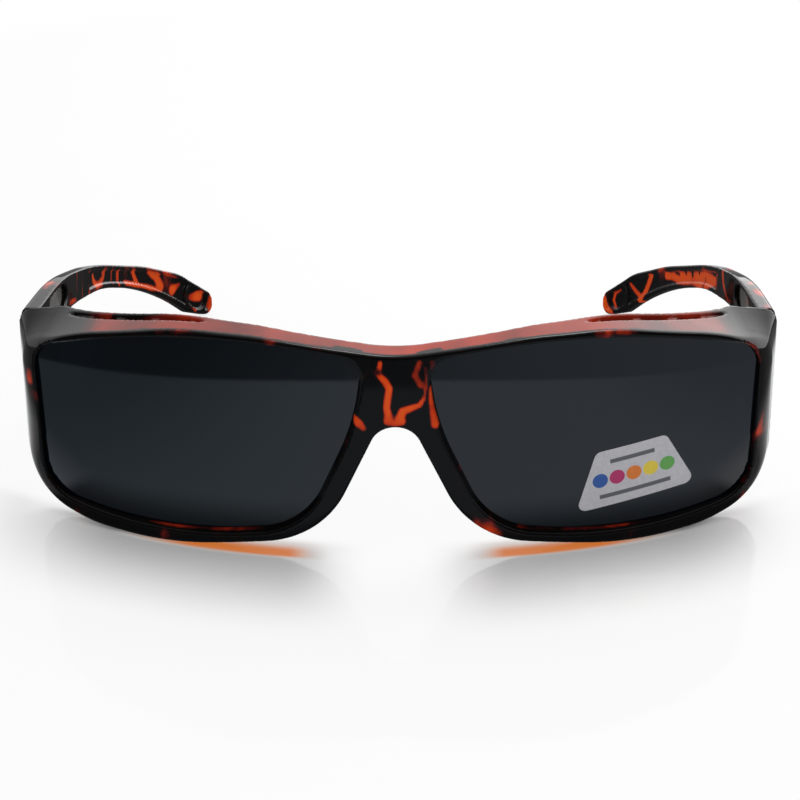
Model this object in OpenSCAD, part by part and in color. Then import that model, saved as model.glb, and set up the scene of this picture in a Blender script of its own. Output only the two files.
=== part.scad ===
// Over-glasses driving sunglasses.
// A moulded wrap-round front holds two lenses. Two temples with side windows
// fold on screwed metal hinges. The frame stands open on Z = 0, on its lower
// rims and the tips of its temples. X is the viewer's right, Y runs from the
// front to the ears, and Z is up. The origin is the middle of the footprint.
// Left and right are the wearer's.

/* [Front] */
// Radius of the lens front, seen from above
wrap_r = 155; // [130:1:220]
// Width of one lens opening
lens_w = 65; // [58:0.1:70]
// Height of one lens opening
lens_h = 41.6; // [36:0.1:46]
// Distance between the two lens openings
bridge_w = 14; // [11:0.1:20]
// Rim below the lens
rim_bottom = 3.5; // [2.5:0.1:6]
// Rim above the lens
rim_top = 1.9; // [1.6:0.1:5]
// Rim at the temple side of the lens
rim_side = 3.2; // [2.5:0.1:6]
// Depth of the rim from front to back
rim_depth = 5; // [4.8:0.1:8]
// Thickness of the shelf and of the side walls
wall = 1.7; // [1.4:0.1:3]
// Height of the nose arch above the table
nose_h = 29; // [24:0.1:33]
// Depth of the nose saddle from front to back
nose_depth = 7.5; // [5:0.1:12]

/* [Brow shelf] */
// Depth of the shelf over the nose
shelf_mid = 5.8; // [5:0.1:12]
// Radius of the shelf's rear edge, seen from above
shelf_r = 103; // [90:1:140]
// How much wider the front is at the temples than at the rims, each side
flare = 2.4; // [0:0.1:5]
// How far the ends of the brow stand out beside the temples
brow_bulge = 0.5; // [0:0.1:1.5]
// Depth of the recess round the vents
vent_recess = 0.7; // [0.3:0.1:1.2]
// Width of the recess round the vents
vent_w = 2.8; // [1.5:0.1:4]
// Width of one vent slot
slot_w = 1.4; // [0.8:0.1:2]
// Wall between the vents and the rear edge
vent_wall = 1.2; // [0.8:0.1:3]

/* [Lenses] */
// Thickness of the front lenses
lens_t = 1.8; // [1.2:0.1:2.4]
// Distance of the lens behind the face of the rim
lens_set = 2.2; // [1:0.1:2.6]
// Depth of the groove that holds a lens
groove = 0.8; // [0.5:0.1:1.2]
// Clearance of a lens in its groove
seat_gap = 0.03; // [0.01:0.01:0.1]
// Thickness of the sticker
sticker_t = 0.15; // [0.1:0.01:0.4]
// Width of the sticker
sticker_w = 25; // [14:0.5:28]
// Height of the sticker
sticker_h = 12.5; // [5:0.5:14]
// Distance of the sticker from the middle of the front
sticker_x = 47; // [30:0.5:54]
// Height of the sticker's middle above the table
sticker_z = 15; // [13:0.5:32]
// Tilt of the sticker
sticker_tilt = 8; // [0:1:30]

/* [Temples] */
// Thickness of a temple
temple_t = 3.8; // [3:0.1:5]
// Thickness of a temple at its tip
tip_t = 2.7; // [2:0.1:3.8]
// Length of a temple from the joint to the tip
temple_l = 105.2; // [95:0.1:120]
// Drop of a temple's tip below the top of its joint
temple_drop = 19.6; // [15:0.1:24]
// Height of the side shield at the joint
shield_h = 28.5; // [24:0.1:32]
// Slope of the temples when the frame stands on the table
temple_slope = 12; // [6:0.5:16]
// Distance of the joint behind the face at the side of the rim
joint_depth = 11.5; // [10.5:0.1:15]
// Length of the straight front part of a temple
straight_l = 28; // [20:0.5:50]
// Rounding of a temple's outer edges at the joint
edge_front = 0.8; // [0.3:0.1:1.2]
// Rounding of a temple's outer edges along the arm
edge_arm = 1.9; // [0.5:0.1:2.4]
// Radius of a temple's inward curve, seen from above
curve_r = 165; // [150:1:300]
// Gap between the front and an open temple
joint_gap = 0.3; // [0.1:0.05:0.6]
// Thickness of the side windows
side_lens_t = 1.4; // [1:0.1:2]
// Depth of the panel on the inner side of a temple
panel_d = 0.5; // [0.2:0.1:1]
// Distance of the panel behind the joint
panel_at = 42.8; // [38:0.1:60]

/* [Hinges] */
// Height of the hinge's middle below the top of the joint
hinge_drop = 12; // [9:0.5:16]
// Height of one hinge knuckle
knuckle_h = 2.3; // [1.8:0.1:3]
// Radius of the knuckles
knuckle_r = 1.6; // [1.3:0.1:2]
// Thickness of the hinge leaves
leaf_t = 0.9; // [0.7:0.1:1.2]
// Length of the hinge leaves
leaf_l = 5; // [4:0.1:6]
// Radius of the hinge screw
screw_r = 0.7; // [0.5:0.05:0.9]
// Height of the screw's head
head_h = 0.5; // [0.3:0.1:1]
// Running clearance of the hinge
run_gap = 0.05; // [0.02:0.01:0.1]

/* [Hidden] */
$fn = 96;
arc_steps = 6;
lens_x = (bridge_w + lens_w) / 2;
lens_z = rim_bottom + lens_h / 2;
side_x = lens_x + lens_w / 2 + rim_side;
top_z = rim_bottom + lens_h + rim_top;
rear_x = side_x + flare - 0.4;
temple_in = rear_x - temple_t;
hinge_x = temple_in - 1;
joint_y = face_y(side_x) + joint_depth;
boss_gap = 2;
boss_side = 2.3;
boss_l = 14;
joint_edge = 0.4;
inner_edge = 0.35;
// Width of the end of the brow that meets a temple
end_w = 14;
// Where the wall deepens into the nose saddle, and over what width
nose_reach = 22;
nose_blend = 10;
// Where the side wall starts, and where it rises from the rim to the joint
side_start = 60;
side_low = 7;
side_blend = 8;
// Spacing of the points round the wall and along a temple, and the length of the cutting blocks
wall_step = 3;
arm_step = 3.2;
far = 80;

// Corners of the half front, seen from the front: X, Z and radius
face_half = [
    [0, top_z - 3.5, 41],
    [lens_x - 13.6, top_z - 0.3, 59],
    [lens_x + 1.7, top_z, 50],
    [lens_x + 24.7, top_z - 4.4, 43],
    [side_x - 0.6, top_z - 9.8, 8.7],
    [side_x + 0.5, rim_bottom + 2, 12],
    [lens_x + 23.4, 0.9, 26],
    [lens_x + 7.2, -0.4, 79],
    [lens_x - 24.8, rim_bottom + 1, 21],
    [3.2, nose_h + 0.1, 4.9]
];

// Corners of one lens opening, from the lens centre: X, Z and radius
lens_corners = [
    [lens_w * 0.492, lens_h * 0.335, 6.2],
    [lens_w * -0.026, lens_h * 0.563, 109],
    [lens_w * -0.509, lens_h * 0.436, 4.4],
    [lens_w * -0.488, lens_h * 0.133, 50],
    [lens_w * -0.325, lens_h * -0.427, 16.7],
    [lens_w * 0.132, lens_h * -0.537, 97],
    [lens_w * 0.502, lens_h * -0.422, 7.6]
];

// Corners of a temple, seen from the side: length, height and radius
temple_corners = [
    [joint_gap, joint_edge, 0.8],
    [20, 3.2, 90],
    [48, 2.2, 150],
    [temple_l - 29.2, -2.4, 80],
    [temple_l - 13.2, 12.8 - temple_drop, 22],
    [temple_l + 0.6, 5 - temple_drop, 3.9],
    [temple_l - 0.4, -0.7 - temple_drop, 2.5],
    [temple_l - 9.5, 1.8 - temple_drop, 2.8],
    [temple_l - 25.4, 10.9 - temple_drop, 87],
    [52.4, -4.1, 75],
    [23.3, -4.4, 11.4],
    [10.7, 4.7 - shield_h, 9.7],
    [joint_gap, joint_edge - shield_h, 1.5]
];

// Corners of a side window, in the same axes as its temple
window_corners = [
    [9, 0.2, 2.5],
    [16.5, 1.5, 25],
    [28.2, 1.7, 2.2],
    [20.2, -5, 9],
    [9, 6 - shield_h, 1.5]
];

// Corners of the oval dish at a temple's tip, from its own middle
dish_corners = [
    [-4, -2.75, 2.7],
    [4, -2.75, 2.7],
    [4, 2.75, 2.7],
    [-4, 2.75, 2.7]
];

// Corners of the sticker, from its own middle
sticker_corners = [
    [-sticker_w / 2, -sticker_h / 2, 1.5],
    [sticker_w / 2, -sticker_h / 2, 1.5],
    [sticker_w * 0.287, sticker_h / 2, 1.5],
    [-sticker_w * 0.287, sticker_h / 2, 1.5]
];

function unit(v) = v / norm(v);
function ease(t) = let (s = max(0, min(1, t))) s * s * (3 - 2 * s);
function angle_at(a, b, c) = acos(max(-1, min(1, unit(a - b) * unit(c - b))));
function flat(v) = [v.x, v.y];

// Points of the arc that rounds corner b between its neighbours a and c
function arc(a, b, c, r, steps = arc_steps) =
    let (
        half = angle_at(a, b, c) / 2,
        u = unit(a - b),
        w = unit(c - b),
        mid = b + unit(u + w) * r / sin(half),
        from = b + u * r / tan(half) - mid,
        turn = -sign(cross(u, w)) * (180 - 2 * half),
        start = atan2(from.y, from.x)
    )
    [for (k = [0:steps]) mid + r * [cos(start + turn * k / steps), sin(start + turn * k / steps)]];

// Length that the arc at corner i takes from each of its two edges
function reach(c, i) =
    let (n = len(c))
    c[i].z / tan(angle_at(flat(c[(i + n - 1) % n]), flat(c[i]), flat(c[(i + 1) % n])) / 2);

// Share of its radius that the arcs at corners i and i + 1 can have on their edge
function room(c, i) =
    let (j = (i + 1) % len(c))
    min(1, 0.98 * norm(flat(c[j]) - flat(c[i])) / (reach(c, i) + reach(c, j)));

// Radius that the arc at corner i has room for
function radius_at(c, i) =
    let (n = len(c))
    c[i].z * min(room(c, (i + n - 1) % n), room(c, i));

// The arcs of a list of corners, with steps[i] steps at corner i
function arcs(c, steps) =
    let (n = len(c))
    [for (i = [0:n - 1])
        arc(flat(c[(i + n - 1) % n]), flat(c[i]), flat(c[(i + 1) % n]), radius_at(c, i), steps[i])];

// Closed outline of a list of corners
function rounded(c) = [for (a = arcs(c, [for (q = c) arc_steps])) each a];

// How many steps each arc takes at a given spacing
function arc_counts(c, step) =
    let (n = len(c))
    [for (i = [0:n - 1])
        let (half = angle_at(flat(c[(i + n - 1) % n]), flat(c[i]), flat(c[(i + 1) % n])) / 2)
        max(3, ceil(radius_at(c, i) * (180 - 2 * half) * PI / 180 / step))];

// How many steps each straight stretch between two arcs takes
function edge_counts(a, step) =
    [for (i = [0:len(a) - 1]) max(1, ceil(norm(a[(i + 1) % len(a)][0] - a[i][len(a[i]) - 1]) / step))];

// Closed outline from its arcs, with the given number of steps on each straight stretch
function spaced(a, counts) =
    [for (i = [0:len(a) - 1])
        let (from = a[i][len(a[i]) - 1], to = a[(i + 1) % len(a)][0])
        each concat(a[i], [for (k = [1:1:counts[i] - 1]) from + (to - from) * k / counts[i]])];

// The corners of a convex outline that lies d further out
function grown(c, d) =
    let (n = len(c))
    [for (i = [0:n - 1])
        let (
            a = flat(c[(i + n - 1) % n]),
            b = flat(c[i]),
            e = flat(c[(i + 1) % n]),
            out = -unit(unit(a - b) + unit(e - b)) * d / sin(angle_at(a, b, e) / 2)
        )
        [b.x + out.x, b.y + out.y, c[i].z + d]];

// The same outline moved d to the right of its direction of travel
function inset(p, d) =
    let (n = len(p))
    [for (i = [0:n - 1])
        let (t = unit(p[(i + 1) % n] - p[(i + n - 1) % n]))
        p[i] + d * [t.y, -t.x]];

// A half list of corners with its mirror image
function both_halves(h) = concat(h, [for (i = [len(h) - 1:-1:1]) [-h[i].x, h[i].y, h[i].z]]);

function lowest(p) = min([for (q = p) q.y]);
function face_y(x) = wrap_r - sqrt(wrap_r * wrap_r - x * x);
function shelf_y(x) = shelf_mid + shelf_r - sqrt(shelf_r * shelf_r - x * x);

// The face's outline, stood on the table, and how it is divided
face_corners = both_halves(face_half);
face_arc_counts = arc_counts(face_corners, wall_step);
face_arcs = arcs(face_corners, face_arc_counts);
face_edge_counts = edge_counts(face_arcs, wall_step);
raw_face = spaced(face_arcs, face_edge_counts);
face_low = lowest(raw_face);
function standing(p) = [for (q = p) q - [0, face_low]];
face = standing(raw_face);

// The temple's tip touches the table, which sets the height of the joint
temple_outline = rounded(temple_corners);
tip_u = max([for (p = temple_outline) p.x]);
tip_at = [for (i = [0:len(temple_outline) - 1]) if (temple_outline[i].x == tip_u) i][0];
top_edge = [for (i = [0:tip_at]) temple_outline[i]];
low_edge = [for (i = [len(temple_outline) - 1:-1:tip_at]) temple_outline[i]];
joint_z = -min([for (p = temple_outline) p.y * cos(temple_slope) - p.x * sin(temple_slope)]);
function joint_plane_y(z) = joint_y + (z - joint_z) * tan(temple_slope);

// Depth from the face of the bridge to the rearmost point of the temples
overall_d = joint_y + max([for (p = temple_outline) p.x * cos(temple_slope) + p.y * sin(temple_slope)]);

// Corners of the front where the temples meet it
rear_half = [
    for (i = [0:len(face_half) - 1])
        i == 3 ? [lens_x + 25, joint_z + 1.2, 60]
        : i == 4 ? [rear_x + brow_bulge, joint_z + joint_edge, 1.8]
        : i == 5 ? [rear_x, rim_bottom + 0.8, 12.5]
        : face_half[i]
];
rear = standing(spaced(arcs(both_halves(rear_half), face_arc_counts), face_edge_counts));

// How far back the outer wall reaches at a place of the outline
function rear_y(p) =
    let (
        x = abs(p.x),
        low = face_y(x) + rim_depth + (nose_depth - rim_depth) * ease((nose_reach - x) / nose_blend),
        high = min(shelf_y(x), joint_plane_y(p.y) + 2 * joint_gap),
        share = x > side_start ? ease((p.y - side_low) / side_blend) : (p.y > nose_h + 4 ? 1 : 0)
    )
    low + (high - low) * share;

// A line of the wall from in front of the face to its rear edge
function wall_line(p, q, f, r) =
    let (lead = 3 / (r - f))
    [[p.x, f, p.y] - lead * [q.x - p.x, r - f, q.y - p.y], [q.x, r, q.y]];

// Everything is shaped with the face of the bridge at Y = 0, and moved here
module centred() {
    translate([0, -overall_d / 2, 0])
        children();
}

module in_temple_axes(side) {
    mirror([side < 0 ? 1 : 0, 0, 0])
        translate([0, joint_y, joint_z])
            rotate([-temple_slope, 0, 0])
                children();
}

module on_side(side) {
    mirror([side < 0 ? 1 : 0, 0, 0])
        children();
}

// An outline seen from the front, cut through from front to back
module through(outline) {
    translate([0, far, 0])
        rotate([90, 0, 0])
            linear_extrude(1.25 * far)
                polygon(outline);
}

// An outline seen from the side, from x0 to x1 in a temple's axes
module across(outline, x0, x1) {
    translate([x0, 0, 0])
        rotate([90, 0, 90])
            linear_extrude(x1 - x0)
                polygon(outline);
}

module wrap_cylinder(depth) {
    translate([0, wrap_r, -far / 4])
        cylinder(r = wrap_r - depth, h = 1.25 * far, $fn = 256);
}

module wrap_shell(d0, d1) {
    difference() {
        wrap_cylinder(d0);
        wrap_cylinder(d1);
    }
}

module lens_block(d) {
    translate([lens_x, 0, lens_z - face_low])
        through(rounded(grown(lens_corners, d)));
}

// The wall round the whole front: the brow shelf, the sides, the lower edge and the nose saddle
module outer_wall() {
    n = len(face);
    face_in = inset(face, wall);
    rear_in = inset(rear, wall);
    lines = [
        for (i = [0:n - 1])
            let (
                f = face_y(face[i].x),
                r = rear_y(rear[i]),
                outer = wall_line(face[i], rear[i], f, r),
                inner = wall_line(face_in[i], rear_in[i], f, r)
            )
            [outer[0], outer[1], inner[1], inner[0]]
    ];
    polyhedron(
        points = [for (l = lines) each l],
        faces = [
            for (i = [0:n - 1], k = [0:3])
                let (j = (i + 1) % n, m = (k + 1) % 4)
                each [
                    [4 * i + k, 4 * j + m, 4 * j + k],
                    [4 * i + k, 4 * i + m, 4 * j + m]
                ]
        ]
    );
}

module face_plate() {
    intersection() {
        through(inset(face, wall / 2));
        wrap_shell(-3, rim_depth);
    }
}

module vent_band(r0, w, a0, a1, z0) {
    translate([0, shelf_mid + shelf_r, z0])
        rotate([0, 0, a0 - 90])
            rotate_extrude(angle = a1 - a0)
                translate([r0, 0])
                    square([w, far - z0]);
}

// The recess near the rear edge of the shelf, with its three slots
module vents(side) {
    r = shelf_r + vent_wall;
    on_side(side) {
        difference() {
            vent_band(r, vent_w, 20.5, 38.5, nose_h);
            through(inset(face, vent_recess));
        }
        vent_band(r + 0.2, slot_w, 22, 25.8, nose_h);
        vent_band(r + 0.2, slot_w, 27, 30.4, nose_h);
        vent_band(r + 0.2, slot_w, 31.8, 35.2, nose_h);
    }
}

// The block inside the corner that carries the front leaf of a hinge
module hinge_boss(side) {
    intersection() {
        in_temple_axes(side)
            translate([0, 0, -hinge_drop - 1.5 * knuckle_h - wall])
                linear_extrude(hinge_drop + 1.5 * knuckle_h + wall - joint_edge)
                    polygon([
                        [hinge_x - boss_side, -boss_l],
                        [side_x - wall, -boss_l],
                        [rear_x - 0.6 * wall, -boss_gap],
                        [hinge_x - boss_side, -boss_gap]
                    ]);
        wrap_cylinder(rim_depth - 0.4);
    }
}

module front_frame() {
    color("#2a1512")
        centred()
            difference() {
                intersection() {
                    union() {
                        outer_wall();
                        face_plate();
                        hinge_boss(-1);
                        hinge_boss(1);
                    }
                    wrap_cylinder(0);
                }
                for (side = [-1, 1]) {
                    on_side(side) {
                        intersection() {
                            lens_block(0);
                            wrap_shell(-5, rim_depth + 0.5);
                        }
                        intersection() {
                            lens_block(groove);
                            wrap_shell(lens_set, lens_set + lens_t);
                        }
                    }
                    in_temple_axes(side)
                        translate([side_x - end_w, 0, -0.75 * far])
                            cube([far, far, far]);
                    vents(side);
                    // seat of the front leaf
                    in_temple_axes(side)
                        translate([hinge_x - leaf_t / 2 - seat_gap, -leaf_l - seat_gap, -hinge_drop - 1.5 * knuckle_h])
                            cube([leaf_t + 2 * seat_gap, leaf_l, 3 * knuckle_h]);
                }
            }
}

module lens(side) {
    color("#20262a")
        centred()
            on_side(side)
                intersection() {
                    lens_block(groove - seat_gap);
                    wrap_shell(lens_set + seat_gap, lens_set + lens_t - seat_gap);
                }
}

module lens_sticker() {
    d = lens_set + seat_gap;
    color("#7a5fd0")
        centred()
            intersection() {
                translate([sticker_x, 0, sticker_z])
                    rotate([0, -sticker_tilt, 0])
                        through(rounded(sticker_corners));
                wrap_shell(d - sticker_t, d);
            }
}

// The bent rear part of a temple, between two depths below its outer side
module bent_slab(d0, d1) {
    translate([rear_x - curve_r, straight_l, -0.75 * far])
        rotate_extrude(angle = 40, $fn = 256)
            translate([curve_r - d1, 0])
                square([d1 - d0, far]);
}

// Place in a temple: d below its outer side, at length u and height v
function on_arm(d, u, v) =
    let (past = max(0, u - straight_l))
    [rear_x - curve_r + sqrt((curve_r - d) * (curve_r - d) - past * past), u, v];

// Section of a temple at length u, with rounded outer edges and a flat inner side
function arm_section(u) =
    let (
        top = lookup(u, top_edge),
        low = lookup(u, low_edge),
        edge = min(edge_front + (edge_arm - edge_front) * ease((u - 12) / 40), (top - low) * 0.32),
        inner = min(inner_edge, edge),
        outer = (temple_t - tip_t) * ease((u - straight_l) / (temple_l - straight_l)),
        depth = min(edge * 1.3, temple_t - outer - inner_edge)
    )
    [
        on_arm(outer, u, top - edge),
        on_arm(outer + depth * 0.3, u, top - edge * 0.35),
        on_arm(outer + depth, u, top),
        on_arm(temple_t - inner, u, top),
        on_arm(temple_t, u, top - inner),
        on_arm(temple_t, u, low + inner),
        on_arm(temple_t - inner, u, low),
        on_arm(outer + depth, u, low),
        on_arm(outer + depth * 0.3, u, low + edge * 0.35),
        on_arm(outer, u, low + edge)
    ];

// The arm as a loft through its sections, which lie closer together at its two ends
module arm_loft() {
    stations = concat(
        [for (k = [0:3]) joint_gap + 1.5 * (1 - cos(30 * k))],
        [for (u = [joint_gap + 3.5:arm_step:tip_u - 7]) u],
        [for (k = [0:5]) tip_u - 0.08 - 5 * (1 - sin(18 * k))]
    );
    n = len(stations);
    sides = len(arm_section(0));
    polyhedron(
        points = [for (u = stations) each arm_section(u)],
        faces = concat(
            [[for (k = [sides - 1:-1:0]) k]],
            [[for (k = [0:sides - 1]) (n - 1) * sides + k]],
            [
                for (i = [0:n - 2], k = [0:sides - 1])
                    let (m = (k + 1) % sides, a = i * sides, b = a + sides)
                    each [[a + k, b + m, b + k], [a + k, a + m, b + m]]
            ]
        )
    );
}

// An outline grown by d from the side window's, between two depths
module window_block(d, x0, x1) {
    across(rounded(grown(window_corners, d)), rear_x - x1, rear_x - x0);
}

// Places an outline at the oval dish of the tip
function dish_at(p) =
    let (c = cos(-33), s = sin(-33))
    [for (q = p) [temple_l - 6.7, -temple_drop + 5.05] + [c * q.x - s * q.y, s * q.x + c * q.y]];

module dish_block(d) {
    across(dish_at(rounded(grown(dish_corners, d))), 0, rear_x);
}

module temple(side) {
    deep = (temple_t - side_lens_t) / 2;
    color("#4a1c12")
        centred()
            in_temple_axes(side)
                difference() {
                    arm_loft();
                    window_block(0, -1, temple_t + 1);
                    window_block(0.7, deep, deep + side_lens_t);
                    // panel and dish on the inner side
                    difference() {
                        intersection() {
                            across(inset(temple_outline, 1.2), 0, rear_x);
                            bent_slab(temple_t - panel_d, temple_t + 1);
                            translate([0, panel_at, -0.75 * far])
                                cube([far, temple_l, far]);
                        }
                        dish_block(1.2);
                    }
                    intersection() {
                        dish_block(0);
                        bent_slab(temple_t - panel_d, temple_t + 1);
                    }
                    // room for the knuckles, and the seat of the leaf
                    translate([hinge_x, 0, -hinge_drop - 1.5 * knuckle_h - joint_gap])
                        cylinder(r = knuckle_r + joint_gap, h = 3 * knuckle_h + head_h + 2 * joint_gap);
                    translate([temple_in - 1, 0, -hinge_drop - 1.5 * knuckle_h])
                        cube([leaf_t + 1, leaf_l, 3 * knuckle_h]);
                }
}

module side_lens(side) {
    deep = (temple_t - side_lens_t) / 2;
    color("#2c3236")
        centred()
            in_temple_axes(side)
                window_block(0.7 - seat_gap, deep + seat_gap, deep + side_lens_t - seat_gap);
}

module knuckle(k) {
    translate([hinge_x, 0, -hinge_drop + (k - 0.5) * knuckle_h + run_gap / 2])
        cylinder(r = knuckle_r, h = knuckle_h - run_gap);
}

module screw_bore() {
    translate([hinge_x, 0, -hinge_drop - 3 * knuckle_h])
        cylinder(r = screw_r + run_gap, h = 6 * knuckle_h);
}

module front_hinge_leaf(side) {
    color("#b9b9b4")
        centred()
            in_temple_axes(side)
                difference() {
                    union() {
                        knuckle(-1);
                        knuckle(1);
                        translate([hinge_x - leaf_t / 2, -leaf_l, -hinge_drop - 1.5 * knuckle_h + run_gap / 2])
                            cube([leaf_t, leaf_l, 3 * knuckle_h - run_gap]);
                    }
                    translate([hinge_x, 0, -hinge_drop - 0.5 * knuckle_h - run_gap / 2])
                        cylinder(r = knuckle_r + 0.1, h = knuckle_h + run_gap);
                    screw_bore();
                }
}

module temple_hinge_leaf(side) {
    color("#b9b9b4")
        centred()
            in_temple_axes(side)
                difference() {
                    union() {
                        knuckle(0);
                        translate([temple_in, 0, -hinge_drop - 1.5 * knuckle_h + seat_gap])
                            cube([leaf_t, leaf_l - seat_gap, 3 * knuckle_h - 2 * seat_gap]);
                    }
                    for (k = [-1, 1])
                        translate([hinge_x, 0, -hinge_drop + (k - 0.5) * knuckle_h - run_gap / 2])
                            cylinder(r = knuckle_r + 0.1, h = knuckle_h + run_gap);
                    screw_bore();
                }
}

module hinge_screw(side) {
    top = -hinge_drop + 1.5 * knuckle_h;
    color("#8f8f8a")
        centred()
            in_temple_axes(side)
                difference() {
                    translate([hinge_x, 0, 0])
                        union() {
                            translate([0, 0, top - 3 * knuckle_h])
                                cylinder(r = screw_r, h = 3 * knuckle_h);
                            translate([0, 0, top])
                                cylinder(r = screw_r + 0.5, h = head_h);
                        }
                    translate([hinge_x - 2, -0.15, top + head_h / 2])
                        cube([4, 0.3, 1]);
                }
}

front_frame();
lens(1);  // lens_left
lens(-1);  // lens_right
lens_sticker();
temple(1);  // temple_left
temple(-1);  // temple_right
side_lens(1);  // side_lens_left
side_lens(-1);  // side_lens_right
front_hinge_leaf(1);  // front_hinge_leaf_left
front_hinge_leaf(-1);  // front_hinge_leaf_right
temple_hinge_leaf(1);  // temple_hinge_leaf_left
temple_hinge_leaf(-1);  // temple_hinge_leaf_right
hinge_screw(1);  // hinge_screw_left
hinge_screw(-1);  // hinge_screw_right
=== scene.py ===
"""Over-glasses driving sunglasses in tortoiseshell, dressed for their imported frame.

The front and the temples are moulded shapes: each is written as a distance to its surface, in
millimetres, and meshed from that. The lenses, the side windows and the sticker film are curved
sheets that one Geometry Nodes tree makes from their outlines. The hinges keep their solids.
"""
from __future__ import annotations

import functools
import logging
import math
import sys
from dataclasses import dataclass
from enum import Enum

import bmesh
import bpy
import numpy as np
from bpy.types import Material, Mesh, Node, NodeSocket, NodeTree, Object, World
from mathutils import Matrix, Vector


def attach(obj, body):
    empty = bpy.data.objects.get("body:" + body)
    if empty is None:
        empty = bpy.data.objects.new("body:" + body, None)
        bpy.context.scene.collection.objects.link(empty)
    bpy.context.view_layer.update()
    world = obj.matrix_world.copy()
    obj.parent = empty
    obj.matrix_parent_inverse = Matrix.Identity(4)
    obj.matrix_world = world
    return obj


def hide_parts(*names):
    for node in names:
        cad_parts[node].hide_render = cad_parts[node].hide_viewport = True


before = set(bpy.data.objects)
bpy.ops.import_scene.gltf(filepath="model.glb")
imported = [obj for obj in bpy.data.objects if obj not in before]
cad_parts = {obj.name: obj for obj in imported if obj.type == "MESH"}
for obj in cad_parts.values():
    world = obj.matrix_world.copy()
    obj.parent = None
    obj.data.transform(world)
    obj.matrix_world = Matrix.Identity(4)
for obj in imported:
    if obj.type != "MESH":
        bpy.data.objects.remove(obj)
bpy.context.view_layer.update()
log = logging.getLogger("sunglasses")
MM = 0.001
Array = np.ndarray
Triple = tuple[float, float, float]
Values = dict[str | int, object]


class Side(Enum):
    """The wearer's side of a piece, with its direction along X."""

    LEFT = 1
    RIGHT = -1

    @property
    def label(self) -> str:
        """The side as part of a name."""
        return self.name.lower()


# Outlines and fields


class Outline:
    """A closed outline of straight stretches and arcs, tangent to each other."""

    def __init__(self, corners: list[Triple]) -> None:
        """Rounds each corner as far as its two stretches have room for.

        Args:
            corners: Each corner's two coordinates and its radius, in mm.
        """
        c = np.array(corners, float)
        p, wanted = c[:, :2], c[:, 2]
        before, after = np.roll(p, 1, 0), np.roll(p, -1, 0)
        u = (before - p) / np.linalg.norm(before - p, axis=1)[:, None]
        w = (after - p) / np.linalg.norm(after - p, axis=1)[:, None]
        half = np.arccos(np.clip((u * w).sum(1), -1, 1)) / 2
        reach = wanted / np.tan(half)
        gap = np.linalg.norm(after - p, axis=1)
        room = np.minimum(1, 0.98 * gap / (reach + np.roll(reach, -1)))
        self.radius = wanted * np.minimum(room, np.roll(room, 1))
        reach = self.radius / np.tan(half)
        middle = (u + w) / np.linalg.norm(u + w, axis=1)[:, None]
        self.centre = p + middle * (self.radius / np.sin(half))[:, None]
        self.toward = -middle
        self.cos_half = np.sin(half)
        self.start = p + w * reach[:, None]
        self.end = np.roll(p + u * reach[:, None], -1, 0)
        area = (p[:, 0] * after[:, 1] - after[:, 0] * p[:, 1]).sum()
        self.hand = 1.0 if area > 0 else -1.0
        self.convex = np.where((u[:, 0] * w[:, 1] - u[:, 1] * w[:, 0]) * self.hand < 0, 1.0, -1.0)
        self.entry = p + u * reach[:, None]

    def distance(self, x: Array, z: Array) -> Array:
        """Signed distance of points to the outline, below zero inside.

        Args:
            x: First coordinate of the points.
            z: Second coordinate of the points.

        Returns:
            The distances, in the points' own shape.
        """
        shape = np.broadcast(x, z).shape
        x, z = (np.broadcast_to(a, shape).ravel() for a in (x, z))
        best = np.full(x.size, 1e9)
        for i in range(len(self.radius)):
            vx, vz = x - self.centre[i, 0], z - self.centre[i, 1]
            length = np.hypot(vx, vz)
            within = vx * self.toward[i, 0] + vz * self.toward[i, 1] >= length * self.cos_half[i]
            d = (length - self.radius[i]) * self.convex[i]
            best = np.where(within & (np.abs(d) < np.abs(best)), d, best)
            (ax, az), (bx, bz) = self.start[i], self.end[i]
            ex, ez = bx - ax, bz - az
            long = math.hypot(ex, ez)
            t = np.clip(((x - ax) * ex + (z - az) * ez) / long**2, 0, 1)
            side = ((x - ax) * ez - (z - az) * ex) * self.hand
            d = np.copysign(np.hypot(x - ax - t * ex, z - az - t * ez), side)
            best = np.where(np.abs(d) < np.abs(best), d, best)
        return best.reshape(shape)

    def points(self, step: float) -> Array:
        """Evenly spaced points round the outline.

        Args:
            step: Greatest distance between neighbours, in mm.

        Returns:
            One row per point.
        """
        rows = []
        for i in range(len(self.radius)):
            a, b = self.entry[i] - self.centre[i], self.start[i] - self.centre[i]
            turn = math.atan2(a[0] * b[1] - a[1] * b[0], a @ b)
            n = max(2, math.ceil(abs(turn) * self.radius[i] / step))
            first = math.atan2(a[1], a[0])
            for angle in (first + turn * k / n for k in range(n)):
                way = np.array([math.cos(angle), math.sin(angle)])
                rows.append(self.centre[i] + self.radius[i] * way)
            n = max(1, math.ceil(np.linalg.norm(self.end[i] - self.start[i]) / step))
            rows.extend(self.start[i] + (self.end[i] - self.start[i]) * k / n for k in range(n))
        return np.array(rows)


def rise(value: Array, start: float | Array, end: float | Array) -> Array:
    """Smooth step from 0 at the start to 1 at the end, which may lie below it."""
    t = np.clip((value - start) / (end - start), 0, 1)
    return t * t * (3 - 2 * t)


def toward(a: Array | float, b: Array | float, share: Array) -> Array:
    """A value moved towards another by a share."""
    return a + (b - a) * share


def turned(degrees: float) -> tuple[float, float]:
    """Cosine and sine of an angle."""
    return math.cos(math.radians(degrees)), math.sin(math.radians(degrees))


def most(*fields: Array) -> Array:
    """What all fields share, with sharp edges."""
    return functools.reduce(np.maximum, fields)


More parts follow.
